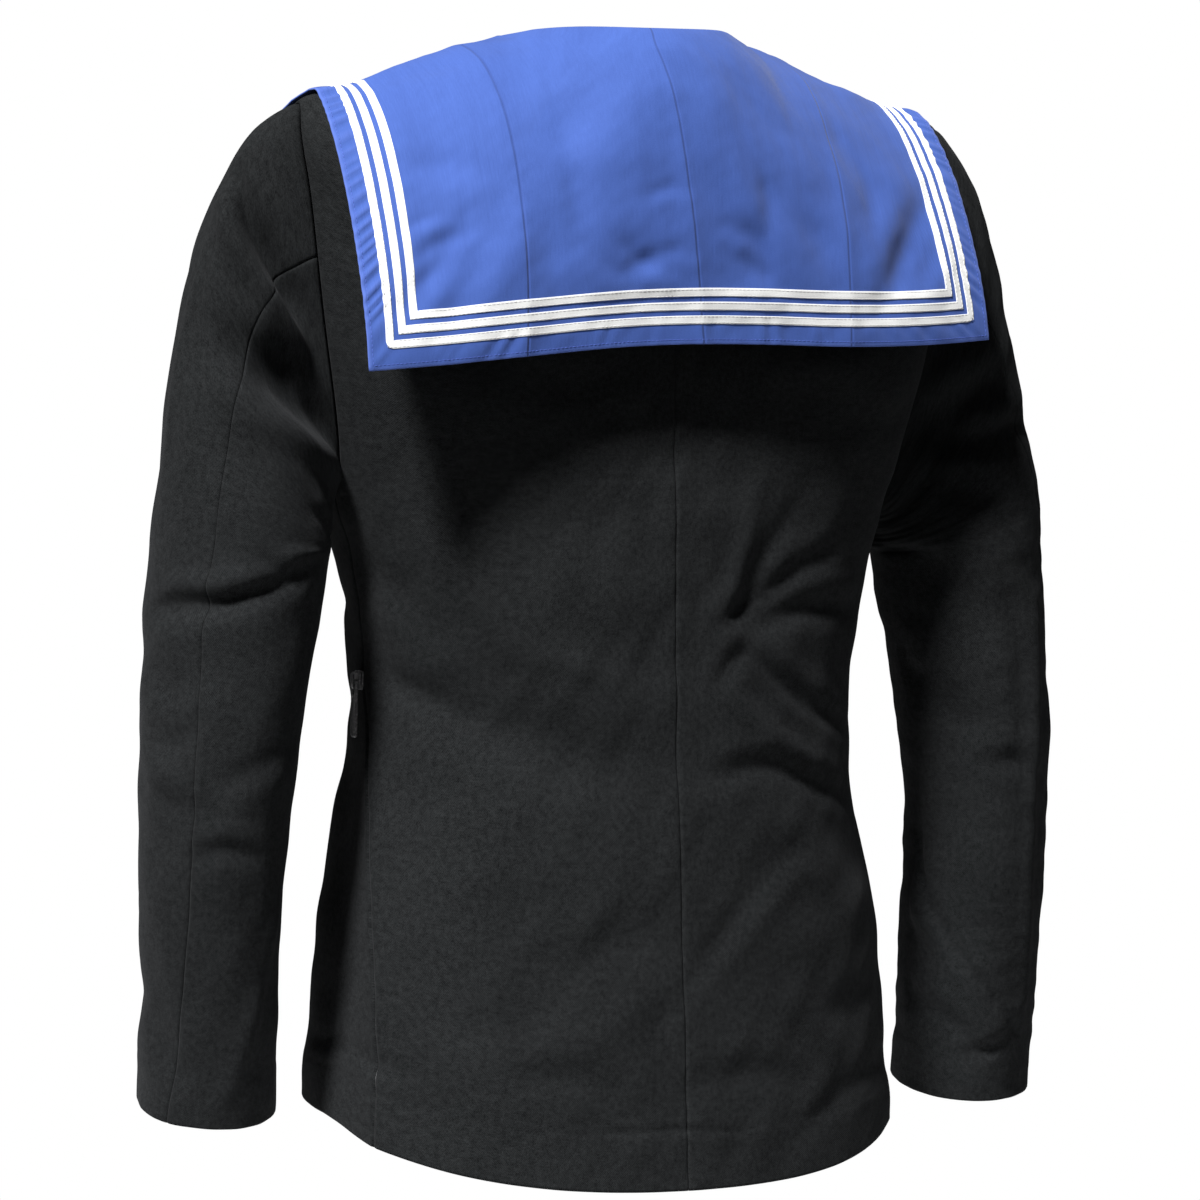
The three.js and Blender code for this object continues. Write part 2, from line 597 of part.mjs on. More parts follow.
function toMesh(name, solid) {
  const { vertProperties, triVerts } = solid.getMesh();
  const geometry = new THREE.BufferGeometry();
  geometry.setAttribute("position", new THREE.Float32BufferAttribute(vertProperties, 3));
  geometry.setIndex([...triVerts]);
  geometry.computeVertexNormals();
  const mesh = new THREE.Mesh(geometry, zipMetal);
  mesh.name = name;
  return mesh;
}

// A plate from an outline in the slider's Y and Z, between two depths in X.
function plate(shape, from, to) {
  const settings = { depth: to - from, bevelEnabled: false, curveSegments: 8 };
  const geometry = new THREE.ExtrudeGeometry(shape, settings);
  // the outline's x goes to Y, its y to Z and its depth to X
  geometry.applyMatrix4(new THREE.Matrix4().set(0, 0, 1, from, 1, 0, 0, 0, 0, 1, 0, 0, 0, 0, 0, 1));
  return toManifold(geometry);
}

// An outline with straight sides and a round top and foot, from the level low to the level high.
function slotShape(wide, low, high) {
  const r = wide / 2;
  const shape = new THREE.Shape();
  shape.absarc(0, high - r, r, 0, Math.PI, false);
  shape.absarc(0, low + r, r, Math.PI, 2 * Math.PI, false);
  return shape;
}

function zipSlider() {
  const { tall, top_wide: top, low_wide: low, face, round } = SLIDER;
  const shape = new THREE.Shape();
  shape.moveTo(-low / 2, -tall / 2 + round);
  shape.quadraticCurveTo(-low / 2, -tall / 2, -low / 2 + round, -tall / 2);
  shape.lineTo(low / 2 - round, -tall / 2);
  shape.quadraticCurveTo(low / 2, -tall / 2, low / 2, -tall / 2 + round);
  shape.lineTo(top / 2, tall / 2 - round);
  shape.quadraticCurveTo(top / 2, tall / 2, top / 2 - round, tall / 2);
  shape.lineTo(-top / 2 + round, tall / 2);
  shape.quadraticCurveTo(-top / 2, tall / 2, -top / 2, tall / 2 - round);
  const body = plate(shape, SEAM, face);
  // the bail is a flat arch, drawn in X and Z and as deep as it is wide in Y
  const arch = new THREE.Shape();
  const outer = BAIL.under + BAIL.thick - BAIL.base;
  arch.absellipse(0, 0, BAIL.tall / 2, outer, 0, Math.PI, false, 0);
  arch.absellipse(0, 0, BAIL.tall / 2 - BAIL.thick, outer - BAIL.thick, Math.PI, 0, true, 0);
  const bail = new THREE.ExtrudeGeometry(arch, { depth: BAIL.wide, bevelEnabled: false, curveSegments: 12 });
  // the arch's x goes to Z, its y to X and its depth to Y
  const turn = new THREE.Matrix4().set(0, 1, 0, BAIL.base, 0, 0, 1, -BAIL.wide / 2, 1, 0, 0, 0, 0, 0, 0, 1);
  bail.applyMatrix4(turn);
  return body.add(toManifold(bail));
}

function zipPull() {
  const shape = slotShape(PULL.wide, -PULL.long, PIN.half);
  shape.holes.push(new THREE.Path(slotShape(PULL.slot_wide, -PULL.slot_long, -PIN.half).getPoints(6)));
  return plate(shape, PIN.x - PULL.thick / 2, PIN.x + PULL.thick / 2);
}

function buildZip() {
  const seam = bodyAt(0, ZIP_UP).add(vec(ZIP_STAND, 0, 0));
  return [toMesh("zip_slider", zipSlider()), toMesh("zip_pull", zipPull())].map((mesh) => {
    mesh.position.copy(seam);
    return mesh;
  });
}

const jumper = new THREE.Group();
jumper.add(...buildBody(), ...buildSleeve(LEFT), ...buildSleeve(RIGHT), ...buildCollar(), ...buildZip());
export default jumper;
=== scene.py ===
"""The looks of a sailor jumper: black serge body and sleeves, a blue jean collar with three white tapes.

Every piece of cloth is a thin shell on the form of its solid in the frame, finer and with its folds.
The forms are worked out in millimetres, in the frame's own axes: +Z up, the back at +Y, the wearer's left
at +X.
"""

import math
from functools import partial, reduce

import bmesh
import bpy
import numpy as np
from mathutils import Matrix, Vector


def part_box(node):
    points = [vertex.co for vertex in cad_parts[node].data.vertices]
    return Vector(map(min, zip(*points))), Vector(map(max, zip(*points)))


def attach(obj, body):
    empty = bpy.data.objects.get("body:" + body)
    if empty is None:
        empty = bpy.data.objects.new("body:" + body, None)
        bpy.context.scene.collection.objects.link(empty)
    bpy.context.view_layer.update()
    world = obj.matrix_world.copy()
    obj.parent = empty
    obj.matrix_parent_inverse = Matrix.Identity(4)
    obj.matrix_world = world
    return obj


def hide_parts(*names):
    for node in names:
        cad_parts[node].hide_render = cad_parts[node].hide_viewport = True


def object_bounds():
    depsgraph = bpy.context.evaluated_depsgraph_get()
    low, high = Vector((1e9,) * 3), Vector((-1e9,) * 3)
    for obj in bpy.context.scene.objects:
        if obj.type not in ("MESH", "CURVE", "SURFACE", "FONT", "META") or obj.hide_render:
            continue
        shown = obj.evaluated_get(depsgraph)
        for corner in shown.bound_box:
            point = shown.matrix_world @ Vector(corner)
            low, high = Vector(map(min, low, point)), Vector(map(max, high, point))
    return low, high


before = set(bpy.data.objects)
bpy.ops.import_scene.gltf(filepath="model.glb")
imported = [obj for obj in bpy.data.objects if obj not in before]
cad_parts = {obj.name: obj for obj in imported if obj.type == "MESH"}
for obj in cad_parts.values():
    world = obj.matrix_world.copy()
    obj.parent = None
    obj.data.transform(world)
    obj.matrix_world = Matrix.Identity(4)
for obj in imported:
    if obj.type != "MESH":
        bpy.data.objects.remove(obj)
CAD_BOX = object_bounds()
MM = 0.001


# ---------- driving sizes
def table(names, rows):
    """A table with named columns, each an array."""
    return dict(zip(names.split(), np.array(rows, float).T))


SERGE = 1.8  # thickness of the body and sleeve cloth
JEAN = 1.2  # thickness of the collar cloth
TAPE = 0.36  # thickness of a collar tape
JOIN = -0.04  # gap between two pieces at a seam: there is none, they overlap a little

ARMPIT, TIP, NECK = 372, 590, 733  # heights along the side of the body, up to the neck
V_POINT, NECK_HALF = 398, 65.6  # point of the V neck and its half width at the shoulders
ARMHOLE_BACK, ARMHOLE_FRONT, ARMHOLE_EGG = 8, 17, 0.2
ZIP_UP, SEAM_SWING = 262, 19  # height of the zip's slider, and how far back the side seams swing below it
SLOPE = 1.25  # how slowly the body falls away from its side line to the front and the back
BODY = table(
    "up side back front half back_y front_y side_y square lean",
    [
        [0, -617, -652, -606, 175, 133, -120, 6, 2.3, 0],
        [100, -526, -545, -516, 168, 124, -116, 2, 2.3, 0],
        [185, -445, -453, -438, 156, 114, -108, -2, 2.3, 0],
        [245, -386, -390, -382, 150, 108, -104, 0, 2.3, 0],
        [310, -322, -325, -320, 156, 103, -106, 5, 2.35, 0],
        [372, -260, -264, -262, 173, 100, -112, 8, 2.4, 0],
        [466, -165, -184, -180, 196, 95, -114, 12, 2.7, 0.01],
        [545, -84, -123, -124, 204, 89, -104, 17, 2.8, 0.012],
        [590, -42, -90, -93, 203, 83, -88, 20, 2.6, 0.015],
        [625, -33, -70, -79, 168, 80, -82, 17, 2.4, 0.015],
        [660, -21, -51, -68, 136, 76, -74, 12, 2.3, 0.013],
        [733, 0, -22, -52, 66, 67, -60, 0, 2.1, 0],
    ],
)
ARMS = {
    "left": dict(
        side=1,
        full=0.8,
        rings=table(
            "down x y z half deep",
            [
                [0, 229, 4, -292, 49, 64],
                [90, 240, 8, -382, 45, 60],
                [170, 244, 6, -462, 40, 55],
                [250, 240, -4, -542, 38, 49],
                [322, 237, -16, -613, 38, 46],
            ],
        ),
    ),
    "right": dict(
        side=-1,
        full=0.4,
        rings=table(
            "down x y z half deep",
            [
                [0, 232, 4, -292, 49, 64],
                [90, 245, 5, -382, 42, 60],
                [170, 252, 2, -462, 39, 54],
                [250, 254, -8, -542, 40, 49],
                [331, 256, -19, -622, 39, 46],
            ],
        ),
    ),
}
SLEEVE_SEAMS = table(
    "down hindarm forearm",
    [[-1, 165, -15], [-0.5, 149, -25], [0, 137, -35], [170, 136, -38], [340, 120, -32]],
)
CAP_LONG = 230  # length of the sleeve's cap
COLLAR = table(
    "a edge_y edge_z square",
    [
        [-200, 101, -168, 1.45],
        [-150, 113, -171, 1.7],
        [-100, 118, -172, 2.1],
        [-45, 120, -171, 2.8],
        [0, 120, -171, 3.0],
        [45, 120, -173, 2.8],
        [100, 121, -178, 2.1],
        [150, 122, -183, 1.6],
        [200, 123, -187, 1.3],
    ],
)
# The flap: half its width at its lower edge and on the shoulders, and how high it lies on the cloth.
HALF_LOW, HALF_HIGH, COLLAR_LIFT = 200, 193, 4
NECK_RIDGE = (10, 22)  # y and z of the collar's ridge at the middle of the neck
# The roll: half its width, its y at the back, how strongly it curls over behind and at its ends, and at
# how many degrees round it the flap's corner meets it.
ROLL_HALF, ROLL_BACK, ROLL_HIGH, ROLL_LOW, CORNER = 72, 88, 84, 9, 48
STAND_SEAT, TAIL_SEAT = 2, 1.6  # how high the stand and the tails sit at the neckline
# The tails: where their outer edge ends, in degrees round and height, where their inner edge ends, how
# far they reach over the edge of the V, and the share of their length in which they settle down to it.
TAIL_END = (-72, V_POINT + 2)
TAIL_INNER_END, TAIL_OVER, TAIL_SETTLE = V_POINT + 28, 3, 0.05
TAPES, TAPE_WIDE = (11, 18.6, 26.2), 4.9  # how far in from the edge each tape starts, and its width


# ---------- small tools
def mix(a, b, t):
    return a + (b - a) * t


def column(rows, key, place, name):
    """The smooth value of one column at each place between its rows, and straight on past its ends."""
    x, y = rows[key], rows[name]
    place = np.asarray(place, float)
    last = len(x) - 1
    i = np.clip(np.searchsorted(x, place) - 1, 0, last - 1)
    before, after = np.maximum(i - 1, 0), np.minimum(i + 2, last)
    span = x[i + 1] - x[i]
    start = (y[i + 1] - y[before]) / (x[i + 1] - x[before]) * span
    end = (y[after] - y[i]) / (x[after] - x[i]) * span
    t = (place - x[i]) / span
    c = np.clip(t, 0, 1)
    smooth = hermite(y[i], start, y[i + 1], end, c)
    return smooth + start * np.minimum(t, 0) + end * np.maximum(t - 1, 0)


def unit(v):
    return v / np.maximum(np.linalg.norm(v, axis=-1, keepdims=True), 1e-12)


def hermite(start, out, end, into, t):
    """The point at t, from 0 to 1, of a curve that leaves start along out and reaches end along into."""
    return (
        start * (2 * t**3 - 3 * t**2 + 1)
        + out * (t**3 - 2 * t**2 + t)
        + end * (3 * t**2 - 2 * t**3)
        + into * (t**3 - t**2)
    )


def falling(high, off, at, soft):
    """A height that falls from high to 0 where off passes at, over about soft."""
    return high / (1 + np.exp(np.minimum((off - at) / soft, 500)))


def normal_of(f, a, b, step_a, step_b, turn):
    """The outward normals of a surface f(a, b).  turn is 1 or -1, for the way its sides run."""
    across = f(a + step_a, b) - f(a - step_a, b)
    along = f(a, b + step_b) - f(a, b - step_b)
    return unit(np.cross(across, along)) * turn


def spread(start, end, step, fine=(), ease=(0, 0.5, 1.1, 1.8, 2.7, 3.9, 5.5)):
    """Places from start to end a step apart, closer together at the places in fine."""
    count = max(int(round((end - start) / step)), 2)
    places = set(np.round(np.linspace(start, end, count + 1), 4))
    for at in fine:
        near = {round(at + s * e, 4) for e in ease for s in (-1, 1)}
        places = {p for p in places if abs(p - at) > ease[-1] + 0.4 * step} | near
    return np.array(sorted(p for p in places | {start, end} if start <= p <= end), float)


def lengths(points, axis):
    """How far each point of a grid lies from the first, along its columns (axis 0) or its rows (axis 1)."""
    gaps = np.linalg.norm(np.diff(points, axis=axis), axis=-1)
    return np.concatenate([np.zeros_like(np.take(gaps, [0], axis)), np.cumsum(gaps, axis)], axis)


def rumple(u, v, size, seed, stretch=1.0, count=14):
    """A smooth uneven height from about -1 to 1, its bumps about size across and stretch times as long."""
    draw = np.random.default_rng(seed)
    total = np.zeros(np.broadcast(u, v).shape)
    for _ in range(count):
        angle, turn = draw.uniform(0, math.pi), draw.uniform(0, 2 * math.pi)
        wave = 2 * math.pi / (size * draw.uniform(0.7, 2.2))
        total += np.sin(wave * (np.cos(angle) * u + np.sin(angle) * v / stretch) + turn)
    return total / math.sqrt(count)


def bent(points):
    """A line through points with its corners cut twice, so that it bends smoothly."""
    line = np.array(points, float)
    for _ in range(2):
        cut = np.stack([mix(line[:-1], line[1:], 0.25), mix(line[:-1], line[1:], 0.75)], 1)
        line = np.concatenate([line[:1], cut.reshape(-1, 2), line[-1:]])
    return line


def folded(folds, degree, around, along):
    """How far the folds of a list push the cloth out.

    A fold is (wide, deep, crest, point, point, ...): a trough along the points, in degrees round and
    millimetres along, with a ridge of crest times its depth on its left, or on its right where crest is
    negative.  One with a negative depth is a ridge.  degree is how many millimetres a degree is.
    """
    around, along = np.broadcast_arrays(around * degree, along)
    push = np.zeros(around.shape)
    for wide, deep, crest, *points in folds:
        line = bent(points) * (degree, 1)
        low, high = line.min(0) - 4 * wide, line.max(0) + 4 * wide
        near = (around > low[0]) & (around < high[0]) & (along > low[1]) & (along < high[1])
        x, y = around[near], along[near]
        best, off, place = np.full(x.shape, np.inf), np.zeros(x.shape), np.zeros(x.shape)
        steps = np.diff(line, axis=0)
        longs = np.hypot(*steps.T)
        run = np.concatenate([[0], np.cumsum(longs)])
        for start, step, long, past in zip(line, steps, longs, run):
            t = ((x - start[0]) * step[0] + (y - start[1]) * step[1]) / long
            side = ((y - start[1]) * step[0] - (x - start[0]) * step[1]) / long
            away = np.hypot(side, t - np.clip(t, 0, long))
            nearer = away < best
            best = np.where(nearer, away, best)
            off = np.where(nearer, side, off)
            place = np.where(nearer, past + t, place)
        part = place / run[-1]
        beyond = np.maximum(np.maximum(-part, part - 1), 0) * run[-1]
        fade = np.exp(-((beyond / (1.5 * wide)) ** 2))
        fade = fade * (1 - 0.5 * np.clip(np.abs(2 * part - 1), 0, 1) ** 2)
        trough = np.exp(-((off / wide) ** 2))
        ridge = np.exp(-(((off * np.sign(crest + 1e-9) - 1.9 * wide) / (1.1 * wide)) ** 2))
        push[near] += deep * fade * (abs(crest) * ridge - trough)
    return push


# ---------- the forms
def body_at(around, up):
    """A point of the body: around is 0 at the left side, 90 at the centre back, -90 in front."""
    around, up = np.broadcast_arrays(np.asarray(around, float), np.asarray(up, float))

    def at(name):
        return column(BODY, "up", up, name)

    c, s = np.cos(np.radians(around)), np.sin(np.radians(around))
    back = s >= 0
    depth = np.abs(np.where(back, at("back_y"), at("front_y")) - at("side_y"))
    n = at("square")
    radius = (np.abs(c / at("half")) ** n + np.abs(s / depth) ** n) ** (-1 / n)
    fall = np.where(back, at("back"), at("front")) - at("side")
    fall = fall * np.abs(radius * s / depth) ** SLOPE
    high = at("side") + fall + at("lean") * radius * c
    return np.stack([radius * c, at("side_y") + radius * s, high], -1)


def body_normal(around, up):
    return normal_of(body_at, around, up, 0.05, 0.1, 1)


def armhole(reach, up):
    """How far the armhole reaches from the side line at a height, in degrees."""
    level = np.clip(2 * (up - ARMPIT) / (TIP - ARMPIT) - 1, -1, 1)
    return reach * np.sqrt(1 - level**2) * (1 - ARMHOLE_EGG * level)


def side_seam(up):
    """Where the left side seam runs at a height: straight down to the zip, then swinging to the back."""
    return SEAM_SWING * (1 - np.clip(up / ZIP_UP, 0, 1) ** 2)


def v_neck(up, over=0.0):
    """How far the V neck reaches from the centre front, in degrees, or over mm less than that."""
    across = NECK_HALF * np.clip((up - V_POINT) / (NECK - V_POINT), 0, 1)
    across = np.maximum(across - over, 0)
    half, n = column(BODY, "up", up, "half"), column(BODY, "up", up, "square")
    depth = column(BODY, "up", up, "side_y") - column(BODY, "up", up, "front_y")
    return np.degrees(np.arctan2(across, depth * (1 - (across / half) ** n) ** (1 / n)))


def armhole_at(side, turn):
    """A point of the armhole: turn is 90 at the shoulder, 180 behind, -90 at the armpit, 0 in front."""
    up = mix(ARMPIT, TIP, (1 + np.sin(np.radians(turn))) / 2)
    behind = np.cos(np.radians(turn)) < 0
    reach = np.where(behind, armhole(ARMHOLE_BACK, up), -armhole(ARMHOLE_FRONT, up))
    point = body_at(reach if side > 0 else 180 - reach, up)
    point[..., 0] += side * JOIN
    return point


def arm_ring(arm, down, turn):
    """A point of the sleeve below its cap, and the direction of the arm there."""
    rings, side = arm["rings"], arm["side"]

    def centre_at(place):
        x, y, z = (column(rings, "down", place, name) for name in "xyz")
        return np.stack([side * x, y, z], -1)

    centre = centre_at(down)
    along = unit(centre_at(down + 5) - centre)
    out = unit(np.array([side, 0, 0]) - side * along[..., :1] * along)
    front = np.cross(along, out) * side
    half, deep = column(rings, "down", down, "half"), column(rings, "down", down, "deep")
    turn = np.radians(turn)
    sideways = out * (half * np.sin(turn))[..., None]
    return centre + sideways + front * (deep * np.cos(turn))[..., None], along


def sleeve_at(arm, turn, down):
    """A point of a sleeve.  down is -1 at the armhole, 0 at the arm's top, then millimetres along it."""
    turn, down = np.broadcast_arrays(np.asarray(turn, float), np.asarray(down, float))
    lower, _ = arm_ring(arm, np.maximum(down, 0), turn)
    start = armhole_at(arm["side"], turn)
    end, along = arm_ring(arm, np.zeros_like(down), turn)
    chord = np.linalg.norm(end - start, axis=-1, keepdims=True)
    high = ((1 + np.sin(np.radians(turn))) / 2)[..., None]
    out = np.concatenate([arm["side"] * mix(0.3, 1, high), 0 * high, mix(-1, -0.3, high**1.5)], -1)
    out = unit(out) * chord * mix(1, arm["full"], high)
    cap = hermite(start, out, end, along * chord * 1.05, (np.minimum(down, 0) + 1)[..., None])
    return np.where((down >= 0)[..., None], lower, cap)


def ridge_up(a):
    """How far up the shoulder seam a place across lies."""
    around = np.where(a < 0, 180.0, 0.0)
    low, high = np.full(np.shape(a), TIP - 30.0), np.full(np.shape(a), float(NECK))
    for _ in range(30):
        up = (low + high) / 2
        outside = np.abs(body_at(around, up)[..., 0]) > np.abs(a)
        low, high = np.where(outside, up, low), np.where(outside, high, up)
    return low


SLICE_A = np.arange(-215.0, 215.5, 1.0)  # where the collar is sliced
SLICE_S = np.linspace(0, 1, 161)  # and the places up each slice, as parts of its length


def collar_slices():
    """The collar behind the shoulders: y and z at each slice and place, and each slice's length."""
    a = SLICE_A
    reach = np.maximum(np.abs(a), ROLL_HALF) * np.where(a < 0, -1, 1)
    around = np.where(a < 0, 180.0, 0.0)
    up = ridge_up(reach)
    ridge = body_at(around, up) + COLLAR_LIFT * body_normal(around, up)
    blend = 1 - (1 - np.clip(1 - np.abs(a) / ROLL_HALF, 0, 1)) ** 2
    top_y, top_z = mix(ridge[:, 1], NECK_RIDGE[0], blend), mix(ridge[:, 2], NECK_RIDGE[1], blend)
    w = np.pi / 2 * (1 - np.linspace(0, 1, 241))[None]
    power = 2 / column(COLLAR, "a", a, "square")[:, None]
    y = mix(top_y[:, None], column(COLLAR, "a", a, "edge_y")[:, None], np.sin(w) ** power)
    z = mix(column(COLLAR, "a", a, "edge_z")[:, None], top_z[:, None], np.cos(w) ** power)
    b = np.concatenate([0 * y[:, :1], np.cumsum(np.hypot(np.diff(y), np.diff(z)), 1)], 1)

    def evenly(lines):
        return np.array([np.interp(SLICE_S * row[-1], row, line) for row, line in zip(b, lines)])

    return evenly(y), evenly(z), b[:, -1]


SLICE_Y, SLICE_Z, SLICE_LONG = collar_slices()


def slice_long(a):
    return np.interp(a, SLICE_A, SLICE_LONG)


def collar_at(a, b):
    """The point of the collar behind the shoulders at a place across, b millimetres up its slice."""
    s = np.clip(b / slice_long(a), 0, 1) * (len(SLICE_S) - 1)
    x = np.clip(a - SLICE_A[0], 0, len(SLICE_A) - 1.001)
    i, j = x.astype(int), np.minimum(s.astype(int), len(SLICE_S) - 2)
    f, g = x - i, s - j

    def between(t):
        return mix(mix(t[i, j], t[i + 1, j], f), mix(t[i, j + 1], t[i + 1, j + 1], f), g)

    return np.stack([a, between(SLICE_Y), between(SLICE_Z)], -1)


def roll_at(side, psi):
    """Where the collar rolls over, psi degrees round the neck: place across, and rise from 0 to 1."""
    a = side * ROLL_HALF * np.cos(np.radians(psi))
    i = np.clip(np.round(a - SLICE_A[0]).astype(int), 0, len(SLICE_A) - 1)
    y = mix(SLICE_Y[i, -1], ROLL_BACK, np.sin(np.radians(psi)))
    rise = [np.interp(-v, -SLICE_Y[k], SLICE_S) for v, k in zip(y, i)]
    return a, np.array(rise)


# ---------- the meshes
def link(name, mesh, material):
    """A new object with a mesh and its material."""
    thing = bpy.data.objects.new(name, mesh)
    bpy.context.scene.collection.objects.link(thing)
    mesh.materials.append(material)
    mesh.polygons.foreach_set("use_smooth", np.ones(len(mesh.polygons), bool))
    return thing


def wall(name, material, *patches):
    """A closed wall of cloth on patches of points with normals.  Patches that share points are one cloth.

    A patch is a dict of grids: points, normals, uv in metres, wear_and_highlight from 0 to 1 (paler where
    worn, and a painted highlight), edge, which says how far its free edges are rounded, and thick, which
    says how far the cloth reaches in from the points.
    """
    flat = {k: np.concatenate([p[k].reshape(-1, p[k].shape[2]) for p in patches]) for k in patches[0]}
    points = flat["points"]
    _, first, same = np.unique(np.round(points, 3), axis=0, return_index=True, return_inverse=True)
    same = same.reshape(-1)
    quads, start = [], 0
    for p in patches:
        rows, cols = p["points"].shape[:2]
        n = start + np.arange(rows * cols).reshape(rows, cols)
        quads.append(np.stack([n[:-1, :-1], n[:-1, 1:], n[1:, 1:], n[1:, :-1]], -1).reshape(-1, 4))
        start += rows * cols
    quads = same[np.concatenate(quads)]
    flat = {k: v[first] for k, v in flat.items()}
    points, normals = flat["points"], unit(flat["normals"])
    corner = points[quads]
    facing = np.cross(corner[:, 2] - corner[:, 0], corner[:, 3] - corner[:, 1])
    if (facing * normals[quads[:, 0]]).sum() < 0:
        quads = quads[:, ::-1]
    depth = flat["thick"]
    inner = points - normals * depth

    edges = np.concatenate([quads[:, [k, (k + 1) % 4]] for k in range(4)])
    key = edges[:, 0].astype(np.int64) * len(points) + edges[:, 1]
    back = edges[:, 1].astype(np.int64) * len(points) + edges[:, 0]
    rim = edges[~np.isin(key, back)]
    tangent = np.zeros_like(points)
    for end in (0, 1):
        np.add.at(tangent, rim[:, end], points[rim[:, 1]] - points[rim[:, 0]])
    on_rim = np.unique(rim)
    outwards = unit(np.cross(tangent[on_rim], normals[on_rim]))
    middle = (points[on_rim] + inner[on_rim]) / 2
    bulge = outwards * depth[on_rim] / 2 * flat["edge"][on_rim]
    rounds = []
    for angle in (45, 90, 135):
        c, s = math.cos(math.radians(angle)), math.sin(math.radians(angle))
        rounds.append(middle + (points[on_rim] - middle) * c + bulge * s)

    place = np.full(len(points), -1)
    place[on_rim] = np.arange(len(on_rim))
    count = len(points)
    loops = [rim] + [2 * count + k * len(on_rim) + place[rim] for k in range(3)] + [rim + count]
    faces = [quads, quads[:, ::-1] + count]
    for upper, lower in zip(loops[:-1], loops[1:]):
        faces.append(np.stack([upper[:, 1], upper[:, 0], lower[:, 0], lower[:, 1]], -1))
    faces = np.concatenate(faces)

    mesh = bpy.data.meshes.new(name)
    vertices = np.concatenate([points, inner] + rounds) * MM
    mesh.vertices.add(len(vertices))
    mesh.vertices.foreach_set("co", vertices.astype(np.float32).ravel())
    mesh.loops.add(faces.size)
    mesh.loops.foreach_set("vertex_index", faces.astype(np.int32).ravel())
    mesh.polygons.add(len(faces))
    mesh.polygons.foreach_set("loop_start", np.arange(0, faces.size, 4, dtype=np.int32))
    mesh.update(calc_edges=True)
    kept = [k for k in ("uv", "wear_and_highlight", "crease_offsets") if k in flat]
    everywhere = {k: np.concatenate([flat[k], flat[k]] + [flat[k][on_rim]] * 3) for k in kept}
    layer = mesh.uv_layers.new(name="cloth")
    layer.data.foreach_set("uv", everywhere["uv"][faces.ravel()].astype(np.float32).ravel())
    wear_and_highlight = mesh.attributes.new("wear_and_highlight", "FLOAT", "POINT")
    wear_and_highlight.data.foreach_set("value", everywhere["wear_and_highlight"].astype(np.float32).ravel())
    if "crease_offsets" in flat:
        crease_offsets = mesh.attributes.new("crease_offsets", "FLOAT_VECTOR", "POINT")
        crease_offsets.data.foreach_set("vector", everywhere["crease_offsets"].astype(np.float32).ravel())
    mesh.validate()
    return link(name, mesh, material)


def patch(points, normals, thick, edge=1.0, wear_and_highlight=0.0, uv=None, crease_offsets=None):
    """A patch for wall(), with its uv measured along its rows and columns where it isn't given."""
    if uv is None:
        across, along = lengths(points, 1), lengths(points, 0)
        middle = points.shape[1] // 2
        uv = np.stack([across - across[:, middle : middle + 1], along + 0 * across], -1)
    shape = points.shape[:2]
    grids = dict(points=points, normals=normals, uv=uv * MM)
    for name, grid in (("wear_and_highlight", wear_and_highlight), ("edge", edge), ("thick", thick)):
        grids[name] = np.broadcast_to(np.asarray(grid, float), shape)[..., None]
    if crease_offsets is not None:
        grids["crease_offsets"] = crease_offsets
    return grids


GROOVE = dict(deep=0.9, wide=0.8, lift=0.35, allowance=11)


def seam_groove(points, left, right):
    """How far the cloth dips beside its two sewn sides, where left and right (one number a row) are 1.

    It turns in sharply at the seam, and the allowances pressed open beneath lift it a little beside that.
    """
    push = 0
    across = lengths(points, 1)
    for sewn, off in ((left, across), (right, across[:, -1:] - across)):
        dip = -GROOVE["deep"] * np.exp(-((off / GROOVE["wide"]) ** 1.5))
        lift = falling(GROOVE["lift"], off, GROOVE["allowance"], 1.2)
        push = push + np.reshape(sewn, (-1, 1)) * (dip + lift)
    return push


def drawn_back(points, columns, by):
    """Moves some columns of a grid sideways, away from the first of them, the last of them not at all."""
    moved = points[:, columns].copy()
    way = unit(moved[:, -1] - moved[:, 0])[:, None]
    share = np.linspace(1, 0, moved.shape[1])[None, :, None]
    points[:, columns] = moved + way * share * np.reshape(by, (-1, 1, 1))
    return points


def closed_sides(points, left, right, by):
    """Moves the two side columns of a grid towards its middle, in the rows where left and right are 1."""
    for at, inside, where in ((0, 1, left), (-1, -2, right)):
        way = unit(points[:, inside] - points[:, at])
        points[:, at] += way * by * np.reshape(where, (-1, 1))
    return points


